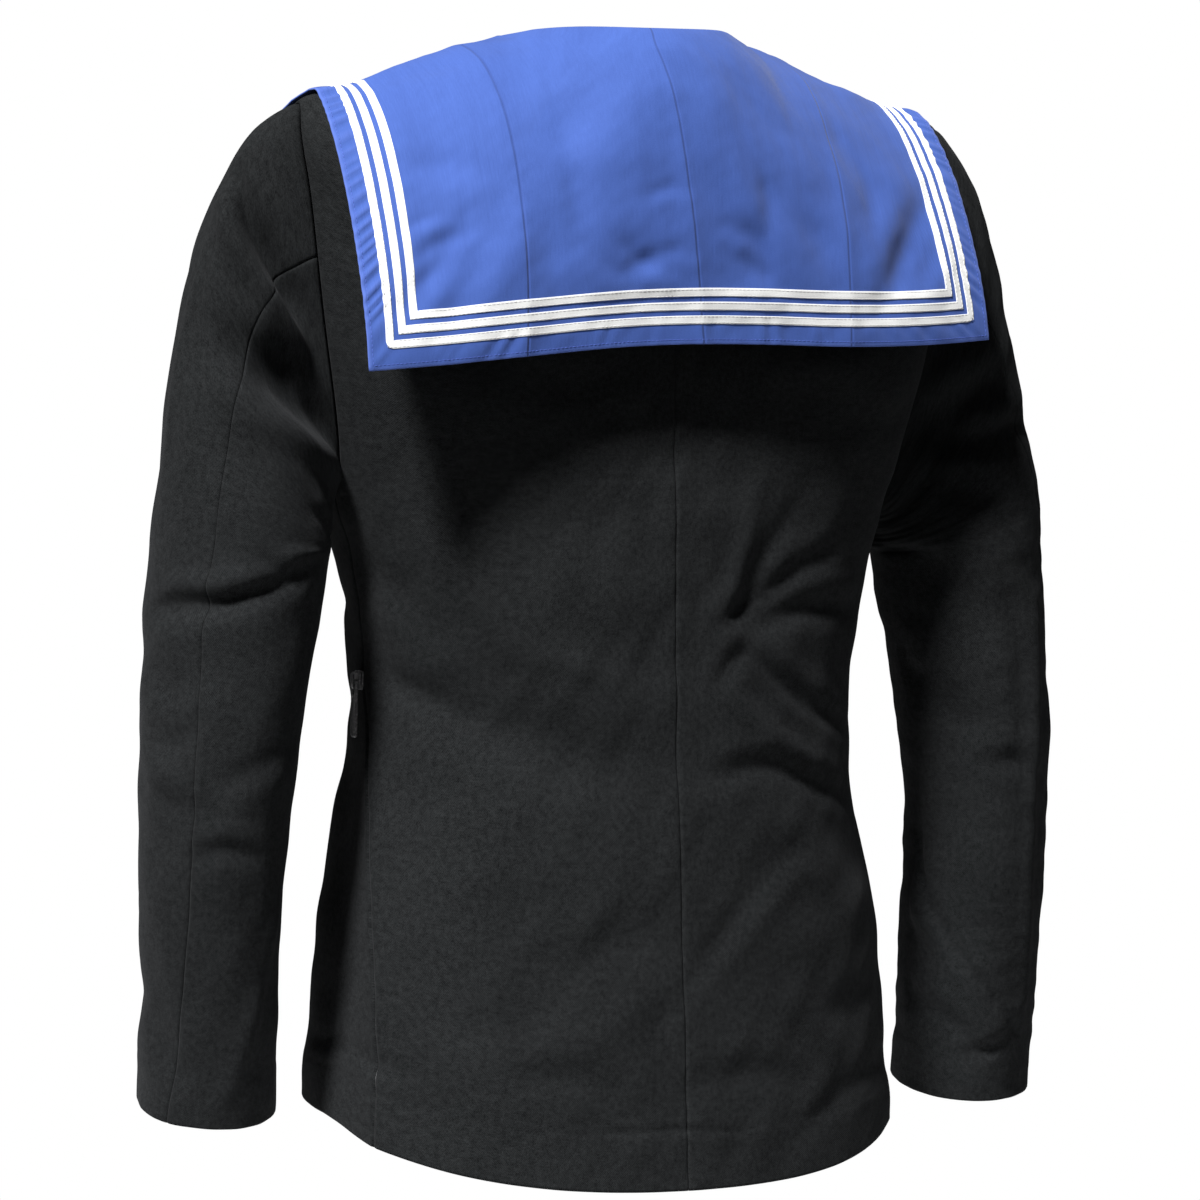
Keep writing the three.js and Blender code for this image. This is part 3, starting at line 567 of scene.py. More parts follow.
# ---------- folds
# wide, deep, crest, then the points: see folded().
BODY_FOLDS = [
    # the small of the back, from the zip across to the centre
    (20, 5.0, 0.4, (10, 268), (27, 252), (50, 234), (72, 222), (92, 228)),
    (7, 1.6, 0.3, (4, 272), (14, 263), (32, 248)),
    (10, -2.6, 0, (22, 352), (35, 308), (49, 284), (66, 272)),
    (5, 1.2, 0.3, (42, 300), (51, 286)),
    (5, 1.0, 0.3, (52, 276), (60, 268)),
    (14, 3.0, 0, (4, 336), (18, 310), (31, 282), (46, 266)),
    # the zigzag of the right waist
    (10, -3.2, 0, (122, 384), (115, 344), (109, 306)),
    (8, 3.0, 0, (132, 364), (119, 326), (110, 302)),
    (7, 3.4, 0.4, (106, 303), (121, 316), (142, 340)),
    (9, -3.0, 0, (99, 344), (108, 300), (121, 277)),
    (8, 3.6, 0.4, (117, 299), (135, 311), (158, 307)),
    (7, 3.4, 0.3, (105, 270), (114, 289), (122, 276), (133, 256), (154, 236)),
    (8, -2.6, 0, (106, 262), (120, 242), (136, 217)),
    (7, 3.2, 0.5, (103, 217), (121, 223), (133, 212), (150, 197)),
    (12, -1.9, 0, (118, 200), (135, 174), (147, 144)),
    # the skirt
    (9, -2.0, 0, (98, 108), (119, 152), (130, 168), (143, 136)),
    (9, 1.6, 0, (94, 116), (110, 148), (124, 172)),
    (10, 1.7, 0.3, (128, 108), (137, 76), (150, 85)),
    (14, 2.3, 0.3, (41, 68), (62, 120), (84, 143)),
    (10, -1.6, 0, (58, 72), (78, 100), (89, 114)),
    (8, 1.7, 0.4, (44, 53), (56, 61), (68, 53)),
    (9, 1.5, 0, (81, 82), (88, 100)),
    (8, 1.9, 0.4, (91, 55), (112, 61), (125, 49)),
    (8, 2.0, 0.4, (121, 18), (135, 38), (158, 43)),
    (9, 1.8, 0, (121, 80), (134, 54), (143, 20)),
    (2.2, 0.8, 0.3, (69, 30), (91, 32), (104, 28)),
    (5, 2.0, -0.5, (-9, 42), (12, 48), (25, 47)),
    # the front and the far side
    (14, 4.0, 0.4, (-34, 260), (-52, 284), (-72, 302)),
    (9, 2.6, 0.4, (-14, 302), (-32, 322), (-52, 328)),
    (9, 3.0, 0.4, (-14, 248), (-30, 238), (-48, 236)),
    (13, 4.0, 0.4, (-144, 240), (-128, 248), (-106, 264)),
    (8, 3.0, 0.5, (-168, 262), (-154, 276), (-138, 284)),
    (8, 3.2, 0.4, (-168, 236), (-154, 226), (-138, 222)),
    (14, 2.2, 0.3, (-58, 136), (-74, 166), (-92, 182)),
    (12, -1.8, 0, (-122, 118), (-110, 146), (-97, 162)),
    (9, 1.7, 0.4, (-28, 60), (-44, 52), (-62, 54)),
    (9, 1.7, 0.4, (-152, 66), (-136, 54), (-118, 52)),
    (12, 2.4, 0, (-56, 416), (-48, 444), (-42, 474)),
    (12, 2.4, 0, (-124, 416), (-132, 444), (-139, 474)),
    (9, 1.6, 0.3, (-84, 70), (-96, 84), (-108, 80)),
]
ARM_FOLDS = {
    "left": [
        # under the head of the sleeve
        (9, 9.5, 0.5, (106, -168), (135, -168), (153, -181), (165, -190), (176, -205), (192, -226)),
        (12, 11.0, 0.45, (138, -100), (150, -104), (165, -117), (188, -147), (206, -190), (218, -226)),
        (8, 5.5, 0.3, (144, -118), (166, -134), (184, -170), (198, -222)),
        # the elbow
        (6, 3.8, -0.6, (98, 40), (122, 36), (146, 36), (166, 28), (193, 17)),
        (10, -1.8, 0, (104, 56), (130, 52), (152, 46)),
        (5, 1.8, -0.5, (172, 10), (191, 12), (214, 6)),
        (9, 1.6, 0.3, (90, 72), (116, 83), (135, 77)),
        (9, 1.5, 0.3, (90, 106), (118, 113), (135, 98)),
        (7, 1.4, -0.3, (86, 136), (120, 144), (142, 144)),
        (7, 1.7, 0.3, (160, 127), (182, 120), (205, 109)),
        (5, 1.9, -0.6, (142, 167), (162, 162), (185, 167)),
        (9, -2.2, 0, (218, 198), (197, 240), (173, 300)),
        (5, -1.3, 0, (99, -136), (91, -76), (84, -26)),
        (14, 1.3, 0.3, (78, 262), (108, 268), (125, 284)),
        # the far side
        (15, 5.0, 0.4, (22, -62), (-8, -40), (-40, -10)),
        (9, 3.0, 0.5, (44, 14), (14, 22), (-16, 20)),
        (13, 4.0, 0.4, (12, 70), (-18, 62), (-52, 46)),
        (8, 2.0, 0.4, (60, 62), (36, 54), (4, 44)),
        (8, 1.8, 0.4, (52, 120), (20, 128), (-12, 122)),
        (9, 1.6, 0.4, (30, 190), (0, 198), (-34, 194)),
        (10, -1.8, 0, (50, 210), (34, 250), (22, 300)),
        (7, 2.0, 0.4, (-56, 6), (-74, 14), (-88, 10)),
    ],
    "right": [
        (8, 6.0, 0.6, (211, -204), (191, -146), (157, -100)),
        (8, 6.0, 0.4, (212, -180), (197, -124), (174, -82), (141, -63)),
        (12, 3.0, 0.4, (216, -124), (196, -66), (173, -22)),
        (14, 2.6, 0.4, (258, -20), (226, 16), (198, 38)),
        (12, 2.3, 0.4, (278, 60), (249, 84), (219, 99)),
        (7, -2.4, 0, (156, 40), (164, 100), (167, 140), (167, 190), (155, 280)),
        (9, 1.6, 0, (180, 16), (176, 66), (176, 120)),
        (6, 1.7, 0.5, (206, 126), (186, 124), (165, 135)),
        (3.4, 2.2, 0, (277, 106), (274, 158), (265, 200), (235, 228), (203, 258), (160, 290)),
        (14, -2.2, 0, (292, 176), (264, 224), (226, 254), (188, 284)),
        (8, 1.6, 0.4, (306, 218), (250, 241), (222, 263)),
        (7, 1.9, 0.5, (278, 270), (234, 278), (202, 297)),
        (6, 1.6, 0.5, (210, 305), (186, 299), (167, 291)),
        (4, 1.3, 0.4, (178, -18), (164, 8), (153, 26)),
        # the far side
        (15, 5.0, 0.4, (22, -62), (-8, -42), (-42, -8)),
        (9, 3.0, 0.5, (46, 20), (16, 28), (-14, 24)),
        (13, 4.0, 0.4, (10, 76), (-18, 66), (-50, 50)),
        (8, 1.8, 0.4, (54, 128), (22, 134), (-10, 130)),
        (9, 1.7, 0.4, (28, 196), (-2, 204), (-36, 198)),
        (10, -1.8, 0, (48, 214), (36, 254), (20, 306)),
        (8, 2.2, 0.4, (120, -110), (96, -92), (72, -84)),
    ],
}
BODY_DEGREE, ARM_DEGREE = 2.6, 1.0  # millimetres to a degree
BODY_DEEPER, ARM_DEEPER = 0.95, 1.35  # how much deeper the folds are made than listed


# ---------- body and arms
SLIT = 1.15  # half the width of the slit below the zip's slider
SEAM_RIDGE = dict(high=3.0, wide=12, hollow=3.0)  # the body stands out along its side seams below the zip
SEAM_HOLLOW = (34, 22)  # how far in front of that ridge its hollow lies, and how wide it is
HEM_TURN = 27  # how far the hem and the cuffs are turned up inside
HEM_STEP, HEM_THICKER = 0.45, 1.1  # how much the turned-up cloth stands out, and how much thicker it is
STEP = 3.1  # usual spacing of the points of the serge
BODY_WIDE, ARM_WIDE = 205, 150  # usual widths of the patches, for the number of their columns
ARMHOLE_ROWS, NECK_ROWS, CAP_ROWS = 82, 48, 80  # rows beside and above the armhole, and on a cap
ARM_WEAVE = 0.9  # millimetres of the sleeves' weave to a degree
ARMHOLE_QUIET = 15  # how far from the armholes the body's folds start
ZIP_QUIET = (1, 246, 22, 34)  # and round the slider and its pull: middle, height, width, tallness


def hem_push(off_edge):
    """How far the double cloth of a hem stands out, at a distance from the lower edge."""
    return falling(HEM_STEP, off_edge, HEM_TURN, 1.1)


def slit(up):
    """How far each edge of the left side seam draws back from the zip."""
    return SLIT * np.clip((ZIP_UP + 4 - up) / 14, 0, 1)


def hem_thick(off_edge):
    """How thick the cloth is at a distance from the lower edge."""
    return SERGE + falling(HEM_THICKER, off_edge, HEM_TURN, 0.8)


def quiet(around, up):
    """How freely the body folds: from 0 at the armholes and the zip's slider to 1 well away from them."""
    free = np.ones(np.shape(around + up))
    outside = np.maximum(np.maximum(ARMPIT - up, up - TIP), 0)
    for side in (around, 180 - np.where(around < -90, around + 360, around)):
        beside = np.maximum(side - armhole(ARMHOLE_BACK, up), -side - armhole(ARMHOLE_FRONT, up))
        away = np.hypot(np.maximum(beside, 0) * BODY_DEGREE, outside)
        free *= 1 - np.exp(-((away / ARMHOLE_QUIET) ** 2))
    middle, low, wide, tall = ZIP_QUIET
    beside = (around - middle) * BODY_DEGREE / wide
    return free * (1 - np.exp(-(beside**2) - ((up - low) / tall) ** 2))


def columns_of(wide):
    """Places from 0 to 1 across a patch, closer together beside its two sides, as one row."""
    return spread(0, wide, STEP, fine=(0, wide))[None] / wide


def body_push(around, up):
    """How far the folds of the body push it out, the same on both sides of every seam."""
    around = np.where(around < -180, around + 360, around)
    push = BODY_DEEPER * folded(BODY_FOLDS, BODY_DEGREE, around, up)
    low = np.clip((ZIP_UP - up) / 60, 0, 1)
    before, wide = SEAM_HOLLOW
    for side in (around, 180 - np.where(around < -90, around + 360, around)):
        off = (side - side_seam(up)) * BODY_DEGREE
        push += low * (SEAM_RIDGE["high"] * np.exp(-np.abs(off) / SEAM_RIDGE["wide"]))
        push -= low * SEAM_RIDGE["hollow"] * np.exp(-(((off + before) / wide) ** 2))
    large, small = rumple(np.radians(around), up, 1.1, 5, 62), rumple(around * BODY_DEGREE, up, 24, 6)
    return (push + (0.8 * large + 0.4 * small)) * quiet(around, up)


def body_patch(start, end, sewn, zipped=(0, 0)):
    """One patch of the body between two edges given in degrees at each height.

    sewn and zipped say at which of its two sides a seam and the zip are.
    """
    ups = np.concatenate(
        [
            spread(0, ARMPIT, STEP, fine=(0, HEM_TURN))[:-1],
            mix(ARMPIT, TIP, (1 - np.cos(np.linspace(0, np.pi, ARMHOLE_ROWS))) / 2),
            np.linspace(TIP, NECK, NECK_ROWS)[1:],
        ]
    )
    up = ups[:, None]
    around = mix(start(up), end(up), columns_of(BODY_WIDE))
    up = np.broadcast_to(up, around.shape)
    bare, normals = body_at(around, up), body_normal(around, up)
    left, right = (np.full(len(ups), float(side)) for side in sewn)
    push = body_push(around, up) + hem_push(up) + seam_groove(bare, left, right)
    points = closed_sides(bare + normals * push[..., None], left, right, JOIN / 2)
    free = np.where(up < 1, 1.0, 0.0)
    beside = slice(0, 7), slice(-1, -8, -1)
    for at, seam, opened, near in zip((0, -1), (left, right), zipped, beside):
        points = drawn_back(points, near, opened * slit(ups))
        free[:, at] = np.maximum(free[:, at], 1 - seam + opened * slit(ups))
    uv = np.stack([around * BODY_DEGREE, up], -1)
    return patch(points, normals, hem_thick(up), free * (up < NECK - 1), uv=uv)


def make_body(material):
    """The two backs and the front, each sewn all round but at the hem and the neck.

    The front is two patches that meet below the V and part along it.
    """

    def back(up):
        return armhole(ARMHOLE_BACK, up) + side_seam(up)

    def front(up):
        return armhole(ARMHOLE_FRONT, up) - side_seam(up)

    def middle(up):
        return 90 + 0 * up

    def neck(up):
        return 90 + v_neck(up)

    back_left = body_patch(back, middle, (1, 1), (1, 0))
    back_right = body_patch(middle, lambda up: 180 - back(up), (1, 1))
    front_right = body_patch(lambda up: front(up) - 180, lambda up: -neck(up), (1, 0))
    front_left = body_patch(lambda up: neck(up) - 180, lambda up: -front(up), (0, 1), (0, 1))
    return [
        wall("cloth_back_left", material, back_left),
        wall("cloth_back_right", material, back_right),
        wall("cloth_front", material, front_right, front_left),
    ]


def arm_seam(name, down):
    """Where one of a sleeve's two seams runs, in degrees round the arm."""
    return column(SLEEVE_SEAMS, "down", down, name)


def sleeve_patch(name, start, end, beyond=0):
    """Half a sleeve, from one of its seams to the other, beyond degrees further round."""
    arm = ARMS[name]
    cuff = arm["rings"]["down"][-1]
    lower = cuff - spread(0, cuff, STEP, fine=(0, HEM_TURN))
    downs = np.concatenate([lower[lower > 0], -np.linspace(0, 1, CAP_ROWS)])
    down = downs[:, None]
    turn = mix(arm_seam(start, down), arm_seam(end, down) + beyond, columns_of(ARM_WIDE))
    down = np.broadcast_to(down, turn.shape)
    f = partial(sleeve_at, arm)
    bare = f(turn, down)
    cap = down < 0
    step = np.where(cap, 0.01, 1.0)
    normals = normal_of(f, turn, np.maximum(down, step - 1), 0.1, step, -arm["side"])
    along = np.where(cap, down * CAP_LONG, down)
    settle = np.where(cap, np.clip((down + 1) / 0.15, 0, 1), 1)
    angle = np.where(turn > 270, turn - 360, turn)
    push = ARM_DEEPER * folded(ARM_FOLDS[name], ARM_DEGREE, angle, along)
    seed = 11 if arm["side"] > 0 else 21
    weave = turn * ARM_WEAVE
    push += 0.7 * rumple(weave, along, 45, seed, 1.3) + 0.25 * rumple(weave, along, 20, seed + 1)
    ones = np.ones(len(downs))
    off_cuff = cuff - along
    top = -GROOVE["deep"] * np.exp(-((np.abs(along + CAP_LONG) / GROOVE["wide"] / 1.5) ** 1.5))
    push = settle * push + hem_push(off_cuff) + seam_groove(bare, ones, ones) + top
    points = closed_sides(bare + normals * push[..., None], ones, ones, JOIN / 2)
    free = np.where(off_cuff < 1, 1.0, 0.0)
    return patch(points, normals, hem_thick(off_cuff), free, uv=np.stack([weave, -along], -1))


def make_sleeves(material):
    """The top sleeve and the under sleeve of each arm."""
    made = []
    for name in ARMS:
        top = sleeve_patch(name, "forearm", "hindarm")
        under = sleeve_patch(name, "hindarm", "forearm", 360)
        made.append(wall(f"cloth_sleeve_top_{name}", material, top))
        made.append(wall(f"cloth_sleeve_under_{name}", material, under))
    return made


# ---------- the collar
FIELD_START = TAPES[-1] + TAPE_WIDE  # how far in from the edge the plain field starts
FIELD_WIDE = 150  # about how wide the plain field is
FAR = 400.0  # stands for a distance from the edge or from a crease that is out of its reach
FLAT = 300  # beyond this distance from the edge is the roll, which has no folds


def collar_grid():
    """The collar's points: rows from its edge to the neckline, columns from the left front to the right.

    With them, as grids: a, b (place across and up its slice), d (distance from the edge) and back (0 on
    the tails, 1 elsewhere).
    """
    margin = np.linspace(0, TAPES[0], 8)[:-1], np.linspace(TAPES[0], FIELD_START, 19)
    rows = dict(margin=np.concatenate(margin), field=parts(44), roll=parts(12))
    station = np.concatenate([[0], parts(91), 1 + parts(93)])
    halves = []
    for side in (1, -1):
        back = side_of_collar(side, station, **rows)
        front = tail_of_collar(side, parts(77) ** 1.25, **rows)
        halves.append({k: np.concatenate([back[k], front[k]], 1) for k in back})
    left, right = halves
    return {k: np.concatenate([left[k][:, ::-1], right[k][:, 1:]], 1) for k in left}


def parts(count):
    """Even places from the first after 0 up to 1."""
    return np.linspace(0, 1, count + 1)[1:]


def side_of_collar(side, station, margin, field, roll):
    """Half the collar behind the shoulders.

    station is 0 at the middle of its lower edge, 1 at its corner and 2 on the shoulder.
    """
    psi = np.where(station < 1, mix(90, CORNER, station), mix(CORNER, 0, station - 1))
    d = margin[:, None]
    past = np.clip(station - 1, 0, 1)[None]
    half = mix(HALF_LOW, HALF_HIGH, past) - d
    below = station[None] <= 1
    a = side * np.where(below, station[None] * half, half)
    b = np.where(below, d, mix(d, slice_long(a), past))
    to_a, rise = roll_at(side, psi)
    t = field[:, None]
    field_a = mix(a[-1:], to_a[None], t)
    field_b = slice_long(field_a) * mix(b[-1:] / slice_long(a[-1:]), rise[None], t)
    a, b = np.concatenate([a, field_a]), np.concatenate([b, field_b])
    points = collar_at(a, b)
    facing = psi if side > 0 else 180 - psi
    seat = body_at(facing, NECK) - body_normal(facing, NECK) * SERGE / 2
    seat = seat + np.array([0, 0, STAND_SEAT])
    down = np.broadcast_to([0, 0, -1.0], seat.shape)
    rolled = roll_over(points, seat, np.sin(np.radians(psi)), down, roll)
    return collar_half(points, rolled, a, b, margin, field, 1.0)


def tail_of_collar(side, t, margin, field, roll):
    """Half the collar in front, from the shoulder seam down to the point of the V."""
    settle = np.clip(t / TAIL_SETTLE, 0, 1)
    outer = (TAIL_END[0] * t**0.8, mix(ridge_up(np.array(float(HALF_HIGH))), TAIL_END[1], t))
    inner_up = mix(ridge_up(np.array(float(ROLL_HALF))), TAIL_INNER_END, t)
    inner = ((v_neck(inner_up, TAIL_OVER) - 90) * settle, inner_up)

    def lifted(around, up, lift):
        around = around if side > 0 else 180 - around
        return body_at(around, up) + body_normal(around, up) * lift

    wide = np.linalg.norm(lifted(*outer, 0) - lifted(*inner, 0), axis=-1)
    w = np.concatenate([margin[:, None] / wide, mix(margin[-1] / wide, 1, field[:, None])])
    points = lifted(*(mix(start, end, w) for start, end in zip(outer, inner)), COLLAR_LIFT)
    neck = ((v_neck(inner_up) - 90) * settle, mix(NECK, inner_up, settle))
    seat = lifted(*neck, JEAN + TAIL_SEAT)
    into = unit(lifted(*neck, -JEAN) - lifted(*neck, 0))
    rolled = roll_over(points, seat, 0 * t, into, roll)
    a = np.broadcast_to(side * 200.0, points.shape[:2])
    b = np.broadcast_to(220 + 330 * t, points.shape[:2])
    return collar_half(points, rolled, a, b, margin, field, 0.0)


def roll_over(points, seat, high, into, roll):
    """The roll from the last row of points over to its seat on the neckline."""
    strength = mix(ROLL_LOW, ROLL_HIGH, high)[:, None]
    out = unit(points[-1] - points[-3]) * strength
    into = unit(into) * strength
    return hermite(points[-1][None], out[None], seat[None], into[None], roll[:, None, None])


def collar_half(points, rolled, a, b, margin, field, back):
    """The grids of one half, with the roll after its points: there a and b stay as on the last row."""
    grid = np.concatenate([points, rolled])
    rows, cols = grid.shape[:2]
    rest = rows - len(a)
    d = np.concatenate([margin, FIELD_START + FIELD_WIDE * field, np.full(rest, FAR)])
    a, b = (np.pad(v, ((0, rest), (0, 0)), mode="edge") for v in (a, b))
    return dict(points=grid, a=a, b=b, d=np.repeat(d[:, None], cols, 1), back=np.full((rows, cols), back))


# Pressed creases of the collar: place across at its lower edge and on the shoulders, and how strong.
CREASES = [(104, 100, 1.0), (-6, 20, 0.9), (-101, -98, 0.8)]
# Its folds, as folded() has them, with places across and up in millimetres.
COLLAR_FOLDS = [
    # by the left tapes
    (8, 2.4, 0.4, (174, 36), (160, 50), (136, 80)),
    (10, 1.8, 0.4, (150, 34), (132, 60), (116, 84)),
    (5, 0.9, 0.4, (166, 62), (152, 72), (138, 74)),
    (4, 0.8, 0.4, (168, 80), (156, 86), (148, 84)),
    (9, 1.4, 0.4, (160, 120), (132, 118), (112, 104)),
    (12, 1.4, 0.3, (150, 160), (138, 130), (140, 100)),
    # between the left and the middle crease
    (15, 1.9, 0.4, (92, 118), (66, 132), (40, 166)),
    (9, 1.7, 0.3, (72, 108), (70, 88), (68, 68)),
    (12, 1.3, 0.4, (100, 84), (84, 66), (88, 44)),
    (5, 0.9, 0.5, (44, 56), (30, 46), (10, 40)),
    (5, 0.9, 0.5, (36, 44), (22, 52), (6, 52)),
    (4, 0.7, 0.5, (30, 84), (18, 88), (6, 88)),
    (6, 0.9, 0.4, (60, 52), (46, 42), (36, 44)),
    # between the middle and the right crease
    (6, 1.2, 0.4, (-22, 66), (-36, 62), (-46, 50)),
    (6, 1.2, 0.4, (-24, 50), (-38, 44), (-52, 34)),
    (8, 1.3, 0.3, (-42, 96), (-50, 82), (-48, 66)),
    (7, 0.9, 0.4, (-12, 40), (-24, 36), (-40, 38)),
    (14, 1.4, 0.3, (-30, 160), (-52, 130), (-60, 100)),
    (10, 1.1, 0.3, (-70, 70), (-84, 60), (-86, 42)),
    # by the right tapes
    (10, 2.6, 0.4, (-160, 78), (-144, 54), (-128, 30)),
    (7, 1.2, 0.4, (-150, 36), (-160, 46), (-164, 58)),
    (9, 1.2, 0.3, (-110, 120), (-124, 96), (-122, 70)),
    # the shoulders
    (10, 1.2, 0.4, (120, 196), (150, 190), (176, 196)),
    (10, 1.2, 0.4, (-118, 192), (-146, 188), (-172, 194)),
]
COLLAR_DEEPER = 1.5  # how much deeper they are made than listed
# Puckers across its margins: how long, how deep, and the same along its lower edge.
PUCKER = dict(long=8.6, deep=1.0, low_long=18, low_deep=0.5)
MITRE = 5  # radius of the outermost tape's corners
TAPE_OFF = 0.06  # gap between the tapes and the collar


def grid_normals(points):
    """The normals of a grid of points, to one side of it."""
    return unit(np.cross(np.gradient(points, axis=1), np.gradient(points, axis=0)))


def collar_push(grid, run):
    """How far the collar stands out from its bare form, how pale it is (worn at its edge, with a painted
    highlight on the crests of its puckers), and how far its creases are.
    """
    a, b, d, back = grid["a"], grid["b"], grid["d"], grid["back"]
    push = COLLAR_DEEPER * back * folded(COLLAR_FOLDS, 1, a, b)
    crease_offsets = []
    for low, high, strong in CREASES:
        off = a - mix(low, high, b / slice_long(a))
        push += back * strong * (1.5 * np.exp(-np.abs(off) / 20) + 0.35 * np.exp(-((off / 5) ** 2)))
        # the offsets from each crease, which shape its dent and also place the painted shade line along it
        crease_offsets.append(np.where(back > 0, off, FAR))
    uneven = 0.55 + 0.45 * np.clip(rumple(run, 0 * run, 70, 31), -1, 1)
    side = np.clip((b - 14) / 25, 0, 1)
    ripple = np.sin(2 * np.pi * (run / PUCKER["long"] + 0.35 * rumple(run, 0 * run, 25, 32)))
    scallop = np.sin(2 * np.pi * (run / PUCKER["low_long"] + 0.4 * rumple(run, 0 * run, 50, 35)))
    margin = np.exp(-(((d - 6.5) / 6.5) ** 2))
    pucker = PUCKER["deep"] * ripple * side + PUCKER["low_deep"] * scallop * (1 - side)
    push += margin * uneven * pucker
    push += 0.5 * rumple(a, b, 46, 33) * np.clip(d / 30, 0.25, 1) + 0.13 * rumple(a, b, 14, 34)
    # paler at the very edge, where it is worn, and a painted highlight on the outstanding crests of the
    # puckers in the side margins
    wear_and_highlight = 0.6 * np.exp(-((d / 1.2) ** 2)) + 0.35 * np.clip(ripple * side, 0, 1) * margin
    return np.where(d > FLAT, 0.0, push), np.clip(wear_and_highlight, 0, 1), np.stack(crease_offsets, -1)


def make_collar(jean, tape_cloth, thread):
    """The collar, its three tapes and the stitching along them."""
    grid = collar_grid()
    bare = grid["points"]
    run = np.repeat(lengths(bare[:1], 1), len(bare), 0)
    push, wear_and_highlight, crease_offsets = collar_push(grid, run)
    bare_normals = grid_normals(bare)
    if bare_normals[10, bare.shape[1] // 2, 1] < 0:  # at the centre back they have to look back
        bare_normals = -bare_normals
    points = bare + bare_normals * push[..., None]
    normals = grid_normals(points)
    normals = normals * np.sign((normals * bare_normals).sum(-1, keepdims=True))
    uv = np.stack([np.where(grid["back"] > 0, grid["a"], run), lengths(bare, 0)], -1)
    d = grid["d"][:, 0]
    edge = np.where(d < 0.1, 1.0, 0.0)[:, None]
    pieces = [wall("cloth_collar", jean, patch(points, normals, JEAN, edge, wear_and_highlight, uv, crease_offsets))]
    lift = TAPE_OFF + TAPE
    for name, start in zip(("outer", "middle", "inner"), TAPES):
        rows = np.flatnonzero((d > start - 0.01) & (d < start + TAPE_WIDE + 0.01))
        strip = points[rows] + normals[rows] * lift
        if name == "outer":
            strip = rounded_corners(strip, grid, run[0])
        strip_uv = np.stack([run[rows], np.repeat(d[rows][:, None] - start, run.shape[1], 1)], -1)
        made = patch(strip, normals[rows], TAPE, uv=strip_uv)
        pieces.append(wall(f"cloth_tape_{name}", tape_cloth, made))
        for off, label in ((STITCH["in_tape"], "lower"), (TAPE_WIDE - STITCH["in_tape"], "upper")):
            line = line_at(points + normals * lift, d, start + off)
            up = line_at(normals, d, start + off)
            pieces.append(stitches(f"stitch_{name}_{label}", line, unit(up), thread["white"]))
    line, up = (line_at(grid, d, STITCH["in_edge"]) for grid in (points, normals))
    pieces.append(stitches("stitch_edge", line, unit(up), thread["blue"]))
    return pieces


def rounded_corners(strip, grid, run):
    """The outermost tape with the corners of its outer edge rounded off."""
    for side in (1, -1):
        corner = run[np.argmin(np.abs(grid["a"][0] - side * HALF_LOW) + grid["b"][0])]
        near = np.clip(1 - np.abs(run - corner) / MITRE, 0, 1) ** 2 * MITRE * 0.41
        inwards = unit(strip[-1] - strip[0])
        for k in range(len(strip)):
            strip[k] += inwards * (near * (1 - k / (len(strip) - 1)))[:, None]
    return strip


def line_at(grid, d, at):
    """The row of a grid at a distance in from the edge, between its rows."""
    i = int(np.searchsorted(d, at)) - 1
    return mix(grid[i], grid[i + 1], (at - d[i]) / (d[i + 1] - d[i]))


# ---------- stitching
# A stitch: its length with the gap after it, its thickness, and how far in from an edge its row is.
STITCH = dict(long=2.6, gap=0.55, thick=0.3, in_tape=0.7, in_edge=2.2)
STITCH_SHAPE = [(0.0, -0.25), (0.18, 0.12), (0.5, 0.22), (0.82, 0.12), (1.0, -0.25)]  # part, height
SIDES = 5  # of a thread


def stitches(name, line, up, material):
    """A row of stitches along a line on the cloth, one mesh: each is a thread that dips at both ends."""
    run = lengths(line[None], 1)[0]
    count = int(run[-1] // STITCH["long"])
    starts = np.arange(count) * STITCH["long"]
    long, radius = STITCH["long"] - STITCH["gap"], STITCH["thick"] / 2

    def along_run(values, at):
        return np.stack([np.interp(at, run, values[:, k]) for k in range(3)], -1)

    rings = []
    for part, lift in STITCH_SHAPE:
        at = starts + part * long
        centre, high = along_run(line, at), unit(along_run(up, at))
        along = unit(along_run(line, at + 0.2) - centre + 1e-9)
        wide = unit(np.cross(high, along))
        for angle in range(0, 360, 360 // SIDES):
            c, s = math.cos(math.radians(angle)), math.sin(math.radians(angle))
            raised = high * (lift * STITCH["thick"] * 1.6 + radius * c)
            rings.append(centre + raised + wide * radius * s)
    vertices = np.stack(rings, 1).reshape(-1, 3)
    sides = []
    for k in range(0, SIDES * (len(STITCH_SHAPE) - 1), SIDES):
        for j in range(SIDES):
            after = (j + 1) % SIDES
            sides.append([k + j, k + after, k + SIDES + after, k + SIDES + j])
    each = SIDES * len(STITCH_SHAPE)
    ends = [list(range(SIDES))[::-1], list(range(each - SIDES, each))]
    return repeated(name, vertices, [sides, ends], each, count, material)


def repeated(name, vertices, face_lists, each, count, material):
    """A mesh of many small closed shapes, each with the same faces on so many vertices of its own."""
    faces = []
    for shape in face_lists:
        shape = np.array(shape)
        all_of_them = shape[None] + each * np.arange(count)[:, None, None]
        faces += all_of_them.reshape(-1, shape.shape[1]).tolist()
    mesh = bpy.data.meshes.new(name)
    mesh.from_pydata((vertices * MM).tolist(), [], faces)
    mesh.update()
    return link(name, mesh, material)


# ---------- the zip
# The teeth: a half pitch apart, and by turns to one side and the other of the middle.
TEETH = dict(pitch=1.35, wide=1.4, tall=0.608, deep=1.2, inside=2.0, aside=0.35)
ZIP_TAPE = dict(wide=11, thick=0.6, inside=4.0)
PULL = dict(wide=6.8, tall=33.7, thick=1.8, plate=0.8, rim=1.15, slot_wide=3.0, slot_tall=7.6, bar=1.4)


def rounded(wide, tall, radius, middle=(0, 0)):
    """The outline of a rectangle with round corners."""
    points = []
    for k, (x, y) in enumerate(((1, 1), (-1, 1), (-1, -1), (1, -1))):
        for step in range(7):
            angle = math.radians(90 * k + 15 * step)
            across = middle[0] + x * (wide / 2 - radius) + radius * math.cos(angle)
            high = middle[1] + y * (tall / 2 - radius) + radius * math.sin(angle)
            points.append((across, high))
    return points


